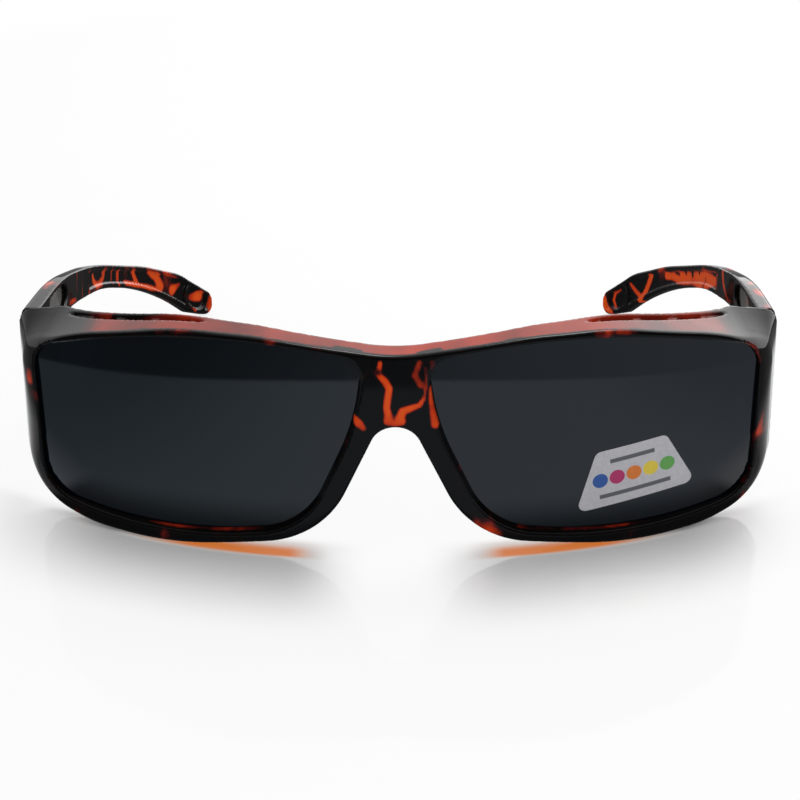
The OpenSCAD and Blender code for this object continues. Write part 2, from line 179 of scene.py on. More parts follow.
def both(a: Array, b: Array, r: float | Array) -> Array:
    """What two fields share, with the edge between them rounded.

    Args:
        a: The first field.
        b: The second field.
        r: Radius of the edge, in mm.

    Returns:
        The field of the common part.
    """
    u, v = a + r, b + r
    return np.hypot(np.maximum(u, 0), np.maximum(v, 0)) + np.minimum(np.maximum(u, v), 0) - r


def either(a: Array, b: Array, r: float) -> Array:
    """Two fields joined, with a fillet of radius r in the corner between them."""
    return -both(-a, -b, r)


def cut(a: Array, b: Array, r: float | Array) -> Array:
    """The first field without the second, with the edges rounded by r."""
    return both(a, -b, r)


class Mould:
    """A shape given by its distance field, and the mesh made from it, in mm."""

    low: Triple
    high: Triple
    cell: float
    quick_cell = 1.6
    slope_step = 0.03
    # How the vertices settle: rounds, the share of a move along the surface, the least squared slope
    # that is divided by, and the longest move to the surface in cells.
    turns, quick_turns = 4, 2
    evening, least_slope, stride = 0.6, 0.2, 0.5

    def planar(self, a: Array, b: Array) -> dict[str, Array]:
        """What depends on the two outline coordinates alone."""
        raise NotImplementedError

    def solid(self, p: dict[str, Array], a: Array, depth: Array, b: Array) -> Array:
        """The field at outline coordinates a and b and at a depth."""
        raise NotImplementedError

    def value(self, q: Array) -> Array:
        """The field at rows of (a, depth, b)."""
        return self.solid(self.planar(q[:, 0], q[:, 2]), q[:, 0], q[:, 1], q[:, 2])

    def slope(self, q: Array, here: Array) -> Array:
        """The field's gradient, by steps of a few hundredths of a millimetre.

        Args:
            q: Rows of (a, depth, b).
            here: The field at those rows.

        Returns:
            One gradient per row.
        """
        h, out = self.slope_step, np.empty_like(q)
        p = self.planar(q[:, 0], q[:, 2])
        out[:, 1] = (self.solid(p, q[:, 0], q[:, 1] + h, q[:, 2]) - here) / h
        for k in (0, 2):
            step = np.zeros(3)
            step[k] = h
            out[:, k] = (self.value(q + step) - here) / h
        return out

    def mesh(self) -> tuple[Array, Array]:
        """Meshes the surface with one vertex in each cell that it passes through.

        Returns:
            The vertices, as rows of (a, depth, b), and the quads.
        """
        cell = self.cell * 1.0
        axes = [np.arange(lo, hi + cell, cell) for lo, hi in zip(self.low, self.high)]
        a, d, b = axes
        p = {k: v[:, None, :] for k, v in self.planar(a[:, None], b[None, :]).items()}
        f = self.solid(p, a[:, None, None], d[None, :, None], b[None, None, :])
        inside = f < 0
        n = np.array(f.shape) - 1
        count = sum(
            inside[i : n[0] + i, j : n[1] + j, k : n[2] + k].astype(np.int8)
            for i in (0, 1) for j in (0, 1) for k in (0, 1)
        )
        cells = np.argwhere((count > 0) & (count < 8))
        number = np.full(n, -1)
        number[tuple(cells.T)] = np.arange(len(cells))
        total, hits = np.zeros((len(cells), 3)), np.zeros(len(cells))
        for axis in range(3):
            others = [k for k in range(3) if k != axis]
            for i in (0, 1):
                for j in (0, 1):
                    start = np.zeros(3, int)
                    start[others[0]], start[others[1]] = i, j
                    stop = start.copy()
                    stop[axis] = 1
                    fa = f[tuple((cells + start).T)]
                    fb = f[tuple((cells + stop).T)]
                    crossing = (fa < 0) != (fb < 0)
                    t = np.where(crossing, fa / np.where(crossing, fa - fb, 1), 0)
                    place = start + np.zeros((len(cells), 3))
                    place[:, axis] = t
                    total += place * crossing[:, None]
                    hits += crossing
        verts = np.array([x[0] for x in axes]) + (cells + total / hits[:, None]) * cell
        quads = []
        for axis in range(3):
            o1, o2 = (axis + 1) % 3, (axis + 2) % 3
            window = [slice(1, -1)] * 3
            window[axis] = slice(0, -1)
            ahead = list(window)
            ahead[axis] = slice(1, None)
            s0, s1 = inside[tuple(window)], inside[tuple(ahead)]
            edges = np.argwhere(s0 != s1)
            if not len(edges):
                continue
            leaving = s0[tuple(edges.T)]
            offset = np.ones(3, int)
            offset[axis] = 0
            e = edges + offset
            ring = []
            for i, j in ((0, 0), (1, 0), (1, 1), (0, 1)):
                back = np.zeros(3, int)
                back[o1], back[o2] = i, j
                ring.append(number[tuple((e - back).T)])
            quad = np.stack(ring, 1)
            quads.append(np.where(leaving[:, None], quad, quad[:, ::-1]))
        faces = np.concatenate(quads)
        return self.settle(verts, faces, cell), faces

    def settle(self, verts: Array, faces: Array, cell: float) -> Array:
        """Draws the vertices onto the surface and evens their spacing.

        Args:
            verts: Rows of (a, depth, b).
            faces: The quads.
            cell: Size of a cell, in mm.

        Returns:
            The moved vertices.
        """
        e = np.concatenate([faces[:, [k, (k + 1) % 4]] for k in range(4)])
        ends = np.concatenate([e[:, 0], e[:, 1]])
        others = np.concatenate([e[:, 1], e[:, 0]])
        number = np.bincount(ends, minlength=len(verts))
        for turn in range(self.turns):
            if turn:
                mean = np.stack([np.bincount(ends, verts[others, k], len(verts)) for k in range(3)], 1)
                drift = (mean / number[:, None] - verts) * self.evening
                unit = grad / np.maximum(np.linalg.norm(grad, axis=1), 1e-6)[:, None]
                verts = verts + drift - unit * (drift * unit).sum(1)[:, None]
            here = self.value(verts)
            grad = self.slope(verts, here)
            size = np.maximum((grad**2).sum(1), self.least_slope)
            move = grad * (here / size)[:, None]
            far = np.maximum(np.linalg.norm(move, axis=1), 1e-9)
            verts = verts - move * np.minimum(1, self.stride * cell / far)[:, None]
        return verts


# Sizes


@dataclass(frozen=True)
class Sizes:
    """The driving sizes of the whole frame, in mm, with the face of the bridge at depth 0."""

    wrap_r: float = 155.0
    lens_w: float = 65.0
    lens_h: float = 41.6
    bridge_w: float = 14.0
    rim_bottom: float = 3.5
    rim_top: float = 1.9
    rim_side: float = 3.2
    rim_depth: float = 5.0
    wall: float = 1.7
    nose_h: float = 29.0
    nose_depth: float = 7.5
    shelf_mid: float = 5.8
    shelf_r: float = 103.0
    flare: float = 2.4
    brow_bulge: float = 0.5
    vent_wall: float = 1.2
    vent_w: float = 2.0
    slot_w: float = 1.2
    lens_set: float = 2.23
    lens_t: float = 1.74
    lens_wrap_r: float = 166.4
    groove: float = 0.8
    temple_t: float = 3.8
    tip_t: float = 2.7
    temple_l: float = 105.2
    temple_drop: float = 19.6
    slope: float = 12.0
    joint_depth: float = 11.5
    straight_l: float = 28.0
    curve_r: float = 165.0
    joint_gap: float = 0.3
    joint_edge: float = 0.4
    panel_d: float = 0.5
    panel_at: float = 42.8
    side_lens_t: float = 1.4
    joint_z: float = 40.6547
    face_low: float = 0.0908
    overall_d: float = 130.668

    @property
    def lens_x(self) -> float:
        """Middle of a lens opening."""
        return (self.bridge_w + self.lens_w) / 2

    @property
    def lens_z(self) -> float:
        """Height of a lens opening's middle above the table."""
        return self.rim_bottom + self.lens_h / 2 - self.face_low

    @property
    def side_x(self) -> float:
        """Side of the face."""
        return self.lens_x + self.lens_w / 2 + self.rim_side

    @property
    def top_z(self) -> float:
        """Height of the brow's crest."""
        return self.rim_bottom + self.lens_h + self.rim_top

    @property
    def rear_x(self) -> float:
        """Outer side of a temple."""
        return self.side_x + self.flare - 0.4

    @property
    def hinge_x(self) -> float:
        """Axis of a hinge."""
        return self.rear_x - self.temple_t - 1

    @property
    def joint_y(self) -> float:
        """Depth of the joints behind the bridge's face."""
        return float(self.face_y(np.array(self.side_x))) + self.joint_depth

    def face_y(self, x: Array) -> Array:
        """Depth of the wrapped face at x."""
        return self.wrap_r - np.sqrt(np.maximum(self.wrap_r**2 - x * x, 1))

    def behind(self, x: Array, y: Array) -> Array:
        """How far a place lies behind the wrapped face."""
        return self.wrap_r - np.hypot(x, self.wrap_r - y)

    def to_temple(self, y: Array, z: Array) -> tuple[Array, Array]:
        """Length along and height on a temple of a place in the frame."""
        (c, s), dy, dz = turned(self.slope), y - self.joint_y, z - self.joint_z
        return dy * c - dz * s, dy * s + dz * c

    def from_temple(self, u: Array, v: Array) -> tuple[Array, Array]:
        """Depth and height in the frame of a place on a temple."""
        c, s = turned(self.slope)
        return self.joint_y + u * c + v * s, self.joint_z - u * s + v * c


S = Sizes()


def face_half() -> list[Triple]:
    """Corners of half the front, seen from the front.

    Returns:
        X, Z and radius of each.
    """
    return [
        (0, S.top_z - 3.5, 41),
        (S.lens_x - 13.6, S.top_z - 0.3, 59),
        (S.lens_x + 1.7, S.top_z, 50),
        (S.lens_x + 24.7, S.top_z - 4.4, 43),
        (S.side_x - 0.6, S.top_z - 9.8, 8.7),
        (S.side_x + 0.5, S.rim_bottom + 2, 12),
        (S.lens_x + 23.4, 0.9, 26),
        (S.lens_x + 7.2, -0.4, 79),
        (S.lens_x - 24.8, S.rim_bottom + 1, 21),
        (3.2, S.nose_h + 0.1, 4.9),
    ]


def mirrored(half: list[Triple]) -> Outline:
    """The whole outline of a half list of corners, stood on the table."""
    whole = half + [(-x, z, r) for x, z, r in half[:0:-1]]
    return Outline([(x, z - S.face_low, r) for x, z, r in whole])


def rear_half() -> list[Triple]:
    """Corners of half the front where the temples meet it.

    Returns:
        X, Z and radius of each.
    """
    half = face_half()
    half[3] = (S.lens_x + 25, S.joint_z + 1.2, 60)
    half[4] = (S.rear_x + S.brow_bulge, S.joint_z + S.joint_edge, 2.8)
    half[5] = (S.rear_x, S.rim_bottom + 0.8, 12.5)
    return half


def lens_corners(grow: float = 0.0) -> list[Triple]:
    """Corners of one lens opening, in the frame.

    Args:
        grow: How far the outline lies outside the opening, in mm.

    Returns:
        X, Z and radius of each.
    """
    shares = [
        (0.492, 0.335, 6.2), (-0.026, 0.563, 109), (-0.509, 0.436, 4.4), (-0.488, 0.133, 50),
        (-0.325, -0.427, 16.7), (0.132, -0.537, 97), (0.502, -0.422, 7.6),
    ]
    return [
        (S.lens_x + a * (S.lens_w + 2 * grow), S.lens_z + b * (S.lens_h + 2 * grow), r + grow)
        for a, b, r in shares
    ]


class FrontMould(Mould):
    """The one-piece front: rims, bridge, brow shelf with its vents, side walls and hinge blocks."""

    low = (-79.2, -1.2, -0.9)
    high = (79.2, 33.0, 48.0)
    cell = 0.45

    # Radii of the edges and fillets, and how far the openings widen towards the face.
    inner_edge, rim_fillet, outer_edge, block_fillet = 0.3, 0.9, 0.5, 0.7
    face_edge, corner_edge, lens_edge, lens_bevel, joint_cut_edge = 0.65, 2.3, 0.3, 0.55, 0.15
    recess_edge, slot_edge = 0.4, 0.3
    # The block of a hinge: how far it comes inwards of the axis, its gap and its end before the joint,
    # its foot and top below the joint's height, and its distances to the outer wall and the face.
    block_in, block_gap, block_l, block_foot, block_top = 2.3, 2.0, 14.0, 17.15, 0.5
    block_skin, block_deep = 0.5, 4.6
    # Where the temples' front edge cuts the side walls.
    joint_x = 61.2
    # The vents: middle and half of the recess and the slots' ends, in degrees round the shelf's centre.
    # Then, in mm, the skin that the recess leaves, how steeply its field rises at its ends, the slots'
    # distance to the vent's wall and the radius of their corners.
    recess_mid, recess_half, recess_skin, recess_end = 29.5, 9.2, 0.75, 8.0
    slot_in, slot_r = 0.2, 0.4
    slots = ((22, 25.8), (27, 30.4), (31.8, 35.2))

    def __init__(self) -> None:
        """Prepares the outlines."""
        self.face = mirrored(face_half())
        self.rear = mirrored(rear_half())
        self.opening = Outline(lens_corners())

    def planar(self, a: Array, b: Array) -> dict[str, Array]:
        """The outline distances and the rear edge's depth.

        Args:
            a: X of the places.
            b: Z of the places.

        Returns:
            Named fields of X and Z.
        """
        x = np.abs(a)
        low = S.face_y(x) + S.rim_depth + (S.nose_depth - S.rim_depth) * rise(x, 22, 12)
        plane = S.joint_y + (b - S.joint_z) * math.tan(math.radians(S.slope))
        shelf = S.shelf_mid + S.shelf_r - np.sqrt(S.shelf_r**2 - np.minimum(x, 90) ** 2)
        high = np.minimum(shelf, plane + 0.1)
        share = np.where(x > 60, rise(b, 7, 15), np.where(b > S.nose_h + 4, 1.0, 0.0))
        return {
            "face": self.face.distance(x, b),
            "rear": self.rear.distance(x, b),
            "lens": self.opening.distance(x, b),
            "rear_y": low + (high - low) * share,
            "front_y": S.face_y(x) + 0 * b,
        }

    def solid(self, p: dict[str, Array], a: Array, depth: Array, b: Array) -> Array:
        """The front's field.

        Args:
            p: The fields of planar().
            a: X.
            depth: Y behind the bridge's face.
            b: Z.

        Returns:
            The field.
        """
        x, y, z = np.abs(a), depth, b
        deep = S.behind(x, y)
        s = np.clip((y - p["front_y"]) / (p["rear_y"] - p["front_y"]), -0.4, 1)
        outer = p["face"] + (p["rear"] - p["face"]) * s
        u, v = S.to_temple(y, z)
        wall = both(-(outer + S.wall), y - p["rear_y"], self.inner_edge)
        shell = either(wall, deep - S.rim_depth, self.rim_fillet)
        body = both(outer, shell, self.outer_edge)
        block = most(
            S.hinge_x - self.block_in - x, u + self.block_gap, -u - self.block_l, -v - self.block_foot,
            v + self.block_top, outer + self.block_skin, self.block_deep - deep,
        )
        body = either(body, block, self.block_fillet)
        corner = self.corner_edge * rise(x, 65, 74) * rise(z, 7, 21)
        body = both(body, -deep, self.face_edge + corner)
        bevel = self.lens_bevel * np.clip(1 - deep / S.lens_set, 0, 1)
        body = cut(body, p["lens"] - bevel, self.lens_edge)
        body = cut(body, np.maximum(-u, self.joint_x - x), self.joint_cut_edge)
        return self.vented(body, outer, x, y, z)

    def vented(self, body: Array, outer: Array, x: Array, y: Array, z: Array) -> Array:
        """The field with the vents' recess and their three slots on each side.

        Args:
            body: The field so far.
            outer: Distance to the outer wall's surface.
            x: Distance from the middle.
            y: Depth.
            z: Height.

        Returns:
            The field with the vents cut.
        """
        back = S.shelf_mid + S.shelf_r - y
        radius = np.hypot(x, back)
        angle = np.degrees(np.arctan2(x, np.maximum(back, 1)))
        across = radius - S.shelf_r - S.vent_wall
        along = (angle - self.recess_mid) / self.recess_half
        half_w = S.vent_w / 2
        band = np.abs(across - half_w) - half_w * np.sqrt(np.clip(1 - along**4, 0, 1))
        recess = most(band, (np.abs(along) - 1) * self.recess_end, -(outer + self.recess_skin), S.nose_h - z)
        body = cut(body, recess, self.recess_edge)
        for first, last in self.slots:
            middle, half = (first + last) / 2, (last - first) / 2
            ends = (np.abs(angle - middle) - half) * math.radians(1) * S.shelf_r
            sides = np.abs(across - self.slot_in - S.slot_w / 2) - S.slot_w / 2
            slot = np.maximum(both(sides, ends, self.slot_r), S.nose_h - z)
            body = cut(body, slot, self.slot_edge)
        return body


class TempleMould(Mould):
    """A temple with its shield, window, inner panel and tip, in its own axes: length, X and height."""

    low = (-0.6, 51.5, -30.0)
    high = (107.5, 78.4, 4.8)
    cell = 0.42

    # Radii of the outer edge along the temple.
    shield_edge, arm_edge, tip_edge = 1.3, 1.75, 1.1
    # Radii of the other edges, and how far the panel and the dish stay from the arm's and the dish's edge.
    inner_edge, front_edge, window_edge, panel_edge, dish_edge, seat_edge = 0.4, 0.2, 0.45, 0.42, 0.35, 0.1
    panel_in, dish_in, dish_rim = 1.35, 1.2, 1.25
    # Room for the hinge: the knuckles' round seat and the leaf's flat one, each with its foot and top.
    knuckle_seat, knuckle_foot, knuckle_top = 1.9, -15.75, -7.75
    leaf_x, leaf_end, leaf_foot, leaf_top = 1.93, 5.03, -15.48, -8.52
    # The dish's turn, in degrees, and its middle before and above the tip's end.
    dish_turn, dish_back, dish_up = -33, 6.4, 5.4

    corners = [
        (-10, -1.37, 0.2), (20, 3.2, 90), (48, 2.2, 150), (76, -2.4, 80), (92, -6.8, 22),
        (105.8, -14.6, 3.9), (104.8, -20.3, 2.5), (95.7, -17.8, 2.8), (79.8, -8.7, 87),
        (52.4, -4.1, 75), (23.3, -4.4, 11.4), (10.7, -23.8, 9.7), (-10, -32.36, 0.2),
    ]
    window = [(9, 0.2, 2.5), (16.5, 1.5, 25), (28.2, 1.7, 2.2), (20.2, -5, 9), (9, -22.5, 1.5)]
    dish = [(-4, -2.75, 2.7), (4, -2.75, 2.7), (4, 2.75, 2.7), (-4, 2.75, 2.7)]

    def __init__(self) -> None:
        """Prepares the outlines."""
        self.arm = Outline(self.corners)
        self.pane = Outline(self.window)
        self.oval = Outline(self.dish)

    def planar(self, a: Array, b: Array) -> dict[str, Array]:
        """The outline distances.

        Args:
            a: Length along the temple.
            b: Height on the temple.

        Returns:
            Named fields of length and height.
        """
        c, s = turned(self.dish_turn)
        du, dv = a - S.temple_l + self.dish_back, b + S.temple_drop - self.dish_up
        return {
            "arm": self.arm.distance(a, b),
            "pane": self.pane.distance(a, b),
            "oval": self.oval.distance(c * du + s * dv, -s * du + c * dv),
        }

    @staticmethod
    def below(u: Array, x: Array) -> Array:
        """Depth of a place below the temple's outer side, which curves inwards."""
        past = np.maximum(u - S.straight_l, 0)
        return S.curve_r - np.hypot(x - S.rear_x + S.curve_r, past)

    def solid(self, p: dict[str, Array], a: Array, depth: Array, b: Array) -> Array:
        """The temple's field.

        Args:
            p: The fields of planar().
            a: Length along the temple.
            depth: X.
            b: Height on the temple.

        Returns:
            The field.
        """
        u, x, v = a, depth, b
        d = self.below(u, x)
        outer = (S.temple_t - S.tip_t) * rise(u, S.straight_l, S.temple_l)
        edge = toward(self.shield_edge, self.arm_edge, rise(u, 10, 30))
        edge = toward(edge, self.tip_edge, rise(u, 86, 100))
        body = both(p["arm"], outer - d, edge)
        body = both(body, d - S.temple_t, self.inner_edge)
        body = both(body, S.joint_gap - u, self.front_edge)
        body = cut(body, p["pane"] + 0 * d, self.window_edge)
        floor = S.temple_t - S.panel_d - d
        panel = most(p["arm"] + self.panel_in, S.panel_at - u, self.dish_rim - p["oval"], floor)
        body = cut(body, panel, self.panel_edge)
        dish = most(p["oval"], p["arm"] + self.dish_in, floor)
        body = cut(body, dish, self.dish_edge)
        round_seat = np.hypot(x - S.hinge_x, u) - self.knuckle_seat
        knuckle = most(round_seat, self.knuckle_foot - v, v - self.knuckle_top)
        body = cut(body, knuckle, self.seat_edge)
        leaf = most(x - S.hinge_x - self.leaf_x, u - self.leaf_end, self.leaf_foot - v, v - self.leaf_top)
        return cut(body, leaf, self.seat_edge)


# Meshes


def in_scene(name: str, data: bpy.types.ID) -> Object:
    """Makes an object at the origin and puts it in the scene.

    Args:
        name: Its name.
        data: Its mesh, lamp or camera.

    Returns:
        The object.
    """
    made = bpy.data.objects.new(name, data)
    bpy.context.scene.collection.objects.link(made)
    return made


def mesh_object(name: str, verts: Array, faces: Array, smooth: bool = True) -> Object:
    """Makes a mesh object at the origin.

    Args:
        name: The object's name.
        verts: Rows of X, Y, Z in metres.
        faces: Rows of vertex numbers.
        smooth: Whether it is shaded smooth.

    Returns:
        The object, in the scene.
    """
    mesh = bpy.data.meshes.new(name)
    mesh.from_pydata(verts.tolist(), [], faces.tolist())
    mesh.polygons.foreach_set("use_smooth", [smooth] * len(mesh.polygons))
    mesh.update()
    return in_scene(name, mesh)


def moulding(name: str, verts: Array, faces: Array) -> Object:
    """Makes a moulding's object, with its faces turned outwards.

    Args:
        name: The piece's name.
        verts: Rows of X, Y, Z in metres.
        faces: Rows of four vertex numbers, turned all one way.

    Returns:
        The object, in the scene.
    """
    a, b, c, d = (verts[faces[:, k]] for k in range(4))
    volume = (np.cross(a, b) * c).sum() + (np.cross(a, c) * d).sum()
    return mesh_object(name, verts, faces[:, ::-1] if volume < 0 else faces)


def outward(mesh: Mesh) -> None:
    """Turns a closed mesh's faces outwards.

    Args:
        mesh: The mesh, which is changed.
    """
    work = bmesh.new()
    work.from_mesh(mesh)
    bmesh.ops.remove_doubles(work, verts=work.verts, dist=1e-7)
    bmesh.ops.recalc_face_normals(work, faces=work.faces)
    work.to_mesh(mesh)
    work.free()


def settle(piece: Object, node: str, body: str) -> None:
    """Hides the CAD node's solid that a piece stands for, hangs the piece on its body, and reports it.

    Args:
        piece: The finished piece.
        node: The CAD node that it stands for.
        body: The body that it rides on.
    """
    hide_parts(node)
    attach(piece, body)
    log.info("%s: %d faces, for %s", piece.name, len(piece.data.polygons), node)


class Flow:
    """What a socket puts out, so that sums on it are written as sums."""

    def __init__(self, tree: Tree, socket: NodeSocket) -> None:
        """Wraps a socket."""
        self.tree, self.socket = tree, socket

    def __add__(self, other: object) -> Flow:
        """The sum."""
        return self.tree.math("ADD", self, other)

    def __sub__(self, other: object) -> Flow:
        """The difference."""
        return self.tree.math("SUBTRACT", self, other)

    def __rsub__(self, other: float) -> Flow:
        """What it leaves of a number."""
        return self.tree.math("SUBTRACT", other, self)

    def __mul__(self, other: object) -> Flow:
        """The product."""
        return self.tree.math("MULTIPLY", self, other)

    def __truediv__(self, other: object) -> Flow:
        """The quotient."""
        return self.tree.math("DIVIDE", self, other)

    def __abs__(self) -> Flow:
        """The value without its sign."""
        return self.tree.math("ABSOLUTE", self)


class Tree:
    """A node tree under construction."""

    def __init__(self, tree: NodeTree) -> None:
        """Wraps a tree."""
        self.tree = tree

    @classmethod
    def of(cls, owner: Material | World) -> Tree:
        """Empties the tree of a material or world.

        Args:
            owner: The material or world.

        Returns:
            Its tree.
        """
        owner.use_nodes = True
        owner.node_tree.nodes.clear()
        return cls(owner.node_tree)

    def set(self, node: Node, values: Values) -> Node:
        """Gives a node its inputs.

        Args:
            node: The node.
            values: By name or place: a number, a vector, or a socket to link from.

        Returns:
            The node.
        """
        for key, value in values.items():
            value = value.socket if isinstance(value, Flow) else value
            if isinstance(value, NodeSocket):
                self.tree.links.new(value, node.inputs[key])
            else:
                node.inputs[key].default_value = value
        return node

    def add(self, kind: str, values: Values | None = None, **settings: object) -> Node:
        """Adds a node.

        Args:
            kind: The node's type.
            values: Its inputs, as for set().
            settings: Its own settings.

        Returns:
            The node.
        """
        node = self.tree.nodes.new(kind)
        for key, value in settings.items():
            setattr(node, key, value)
        return self.set(node, values or {})

    def out(self, kind: str, values: Values | None = None, socket: str | int = 0, **settings: object) -> Flow:
        """Adds a node and returns one of its outputs."""
        return Flow(self, self.add(kind, values, **settings).outputs[socket])

    def math(self, operation: str, a: object, b: object = 0.0, clamp: bool = False) -> Flow:
        """Adds a Math node and returns its result."""
        return self.out("ShaderNodeMath", {0: a, 1: b}, operation=operation, use_clamp=clamp)

    def vector(self, operation: str, a: object, b: object) -> Flow:
        """Adds a Vector Math node and returns its vector."""
        return self.out("ShaderNodeVectorMath", {0: a, 1: b}, operation=operation)

    def split(self, vector: object) -> list[Flow]:
        """Returns a vector's three parts."""
        return [Flow(self, part) for part in self.add("ShaderNodeSeparateXYZ", {0: vector}).outputs]

    def noise(
        self, vector: object, scale: object, detail: float, roughness: float = 0.5, socket: str = "Fac"
    ) -> Flow:
        """Adds a Noise Texture, the same on each run, and returns its value or colour."""
        values = {"Vector": vector, "Scale": scale, "Detail": detail, "Roughness": roughness}
        return self.out("ShaderNodeTexNoise", values, socket)

    def lay(self, vector: object, turn: Triple = (0.0, 0.0, 0.0), stretch: Triple = (1.0, 1.0, 1.0)) -> Flow:
        """Adds a Mapping node, which stretches and then turns a pattern."""
        return self.out("ShaderNodeMapping", {"Vector": vector, "Rotation": turn, "Scale": stretch})

    def ramp(self, factor: object, stops: list[tuple[float, Triple]], flat: bool = False) -> Flow:
        """Adds a colour ramp.

        Args:
            factor: What it reads.
            stops: Places and colours.
            flat: Whether each colour holds up to the next stop.

        Returns:
            Its colour.
        """
        node = self.add("ShaderNodeValToRGB", {0: factor})
        band = node.color_ramp
        band.interpolation = "CONSTANT" if flat else "LINEAR"
        while len(band.elements) < len(stops):
            band.elements.new(0.5)
        for element, (place, colour) in zip(band.elements, stops):
            element.position = place
            element.color = (*colour, 1.0)
        return Flow(self, node.outputs[0])

    def smooth(
        self, value: object, low: float, high: float, out: tuple[float, float] = (0.0, 1.0)
    ) -> Flow:
        """Maps a value smoothly from one range to another."""
        values = {"Value": value, "From Min": low, "From Max": high, "To Min": out[0], "To Max": out[1]}
        return self.out("ShaderNodeMapRange", values, interpolation_type="SMOOTHSTEP")

    def tint(self, share: object, first: object, second: object) -> Flow:
        """Mixes two colours. On this node the colours' sockets stand after those of other kinds."""
        return self.out("ShaderNodeMix", {0: share, 6: first, 7: second}, 2, data_type="RGBA")

    def mix(self, share: object, first: Flow, second: Flow) -> Flow:
        """Mixes two shaders."""
        return self.out("ShaderNodeMixShader", {0: share, 1: first, 2: second})

    def end(self, shader: object, kind: str = "Material") -> None:
        """Ends the tree of a material or world in a shader."""
        self.add("ShaderNodeOutput" + kind, {"Surface": shader})


@dataclass
class CurvedSheet:
    """A lens, window or film: an outline filled and bent round an upright cylinder, in mm."""

    name: str
    outline: Array
    centre: tuple[float, float]
    front: float
    thickness: float
    wrap_r: float
    edge: float
    rings: int = 22

    SOCKETS = {
        "Geometry": "Geometry", "Around": "Int", "Rings": "Int", "Centre": "Vector", "Front": "Float",
        "Thickness": "Float", "Wrap Radius": "Float", "Edge": "Float", "Material": "Material",
    }
    MOST_AROUND = 240

    @classmethod
    @functools.cache
    def tree(cls) -> NodeTree:
        """Builds the tree that makes a sheet from its outline, once.

        Returns:
            The tree.
        """
        t, given, out = node_group("curved_sheet", cls.SOCKETS, {"Geometry": "Geometry"}, "GeometryNodeTree")
        curve = t.out("GeometryNodeMeshToCurve", {0: given["Geometry"]})
        # Columns of the grid go round the outline, rows from its middle in front to its middle behind.
        size = {"Size X": 1.0, "Size Y": 1.0, "Vertices X": given["Rings"], "Vertices Y": given["Around"] + 1}
        grid = t.out("GeometryNodeMeshGrid", size)
        row, column, _ = t.split(t.out("GeometryNodeInputPosition"))
        section = row * 2.0
        around = t.math("ADD", column, 0.5, clamp=True)
        sample = t.out(
            "GeometryNodeSampleCurve", {"Curves": curve, "Factor": around}, "Position",
            mode="FACTOR", data_type="FLOAT", use_all_curves=True,
        )
        spoke = t.vector("SUBTRACT", sample, given["Centre"])
        reach = t.out("ShaderNodeVectorMath", {0: spoke}, "Value", operation="LENGTH")
        inward = abs(section)
        from_edge = inward * inward * reach
        rounding = 1.0 - t.math("MINIMUM", from_edge / given["Edge"], 1.0)
        half = t.math("SQRT", 1.0 - rounding * rounding) * 0.5
        deep = (t.math("SIGN", section) * half + 0.5) * given["Thickness"] + given["Front"]
        along = t.out(
            "ShaderNodeVectorMath", {0: spoke, "Scale": 1.0 - inward * inward}, operation="SCALE"
        )
        x, _, z = t.split(t.vector("ADD", given["Centre"], along))
        inner_r = given["Wrap Radius"] - deep
        root = t.math("SQRT", inner_r * inner_r - x * x)
        y = deep + x * x / (inner_r + root)
        bent = t.out("ShaderNodeCombineXYZ", {0: x, 1: y, 2: z})
        moved = t.out("GeometryNodeSetPosition", {"Geometry": grid, "Position": bent})
        merged = t.out("GeometryNodeMergeByDistance", {"Geometry": moved, "Distance": 2e-6})
        real = t.out("GeometryNodeRealizeInstances", {0: merged})
        t.set(out, {0: t.out("GeometryNodeSetMaterial", {"Geometry": real, "Material": given["Material"]})})
        return t.tree

    def build(self, material: Material, place: Matrix) -> Object:
        """Makes the sheet as a plain mesh.

        Args:
            material: Its finish.
            place: Takes the sheet's own axes, in metres, to the frame.

        Returns:
            The object, in the scene.
        """
        n = len(self.outline)
        base = bpy.data.meshes.new(self.name + "_outline")
        points = [(x * MM, 0, z * MM) for x, z in self.outline]
        base.from_pydata(points, [(i, (i + 1) % n) for i in range(n)], [])
        maker = in_scene(self.name + "_outline", base)
        modifier = maker.modifiers.new("sheet", "NODES")
        modifier.node_group = self.tree()
        values = {
            "Around": min(n, self.MOST_AROUND), "Rings": 2 * self.rings,
            "Centre": (self.centre[0] * MM, 0.0, self.centre[1] * MM), "Front": self.front * MM,
            "Thickness": self.thickness * MM, "Wrap Radius": self.wrap_r * MM, "Edge": self.edge * MM,
            "Material": material,
        }
        for socket in modifier.node_group.interface.items_tree:
            if socket.name in values:
                modifier[socket.identifier] = values[socket.name]
        graph = bpy.context.evaluated_depsgraph_get()
        mesh = bpy.data.meshes.new_from_object(
            maker.evaluated_get(graph), preserve_all_data_layers=True, depsgraph=graph
        )
        maker.modifiers.remove(modifier)
        bpy.data.objects.remove(maker)
        mesh.transform(place)
        outward(mesh)
        mesh.polygons.foreach_set("use_smooth", [True] * len(mesh.polygons))
        mesh.name = self.name
        return in_scene(self.name, mesh)


# Finishes


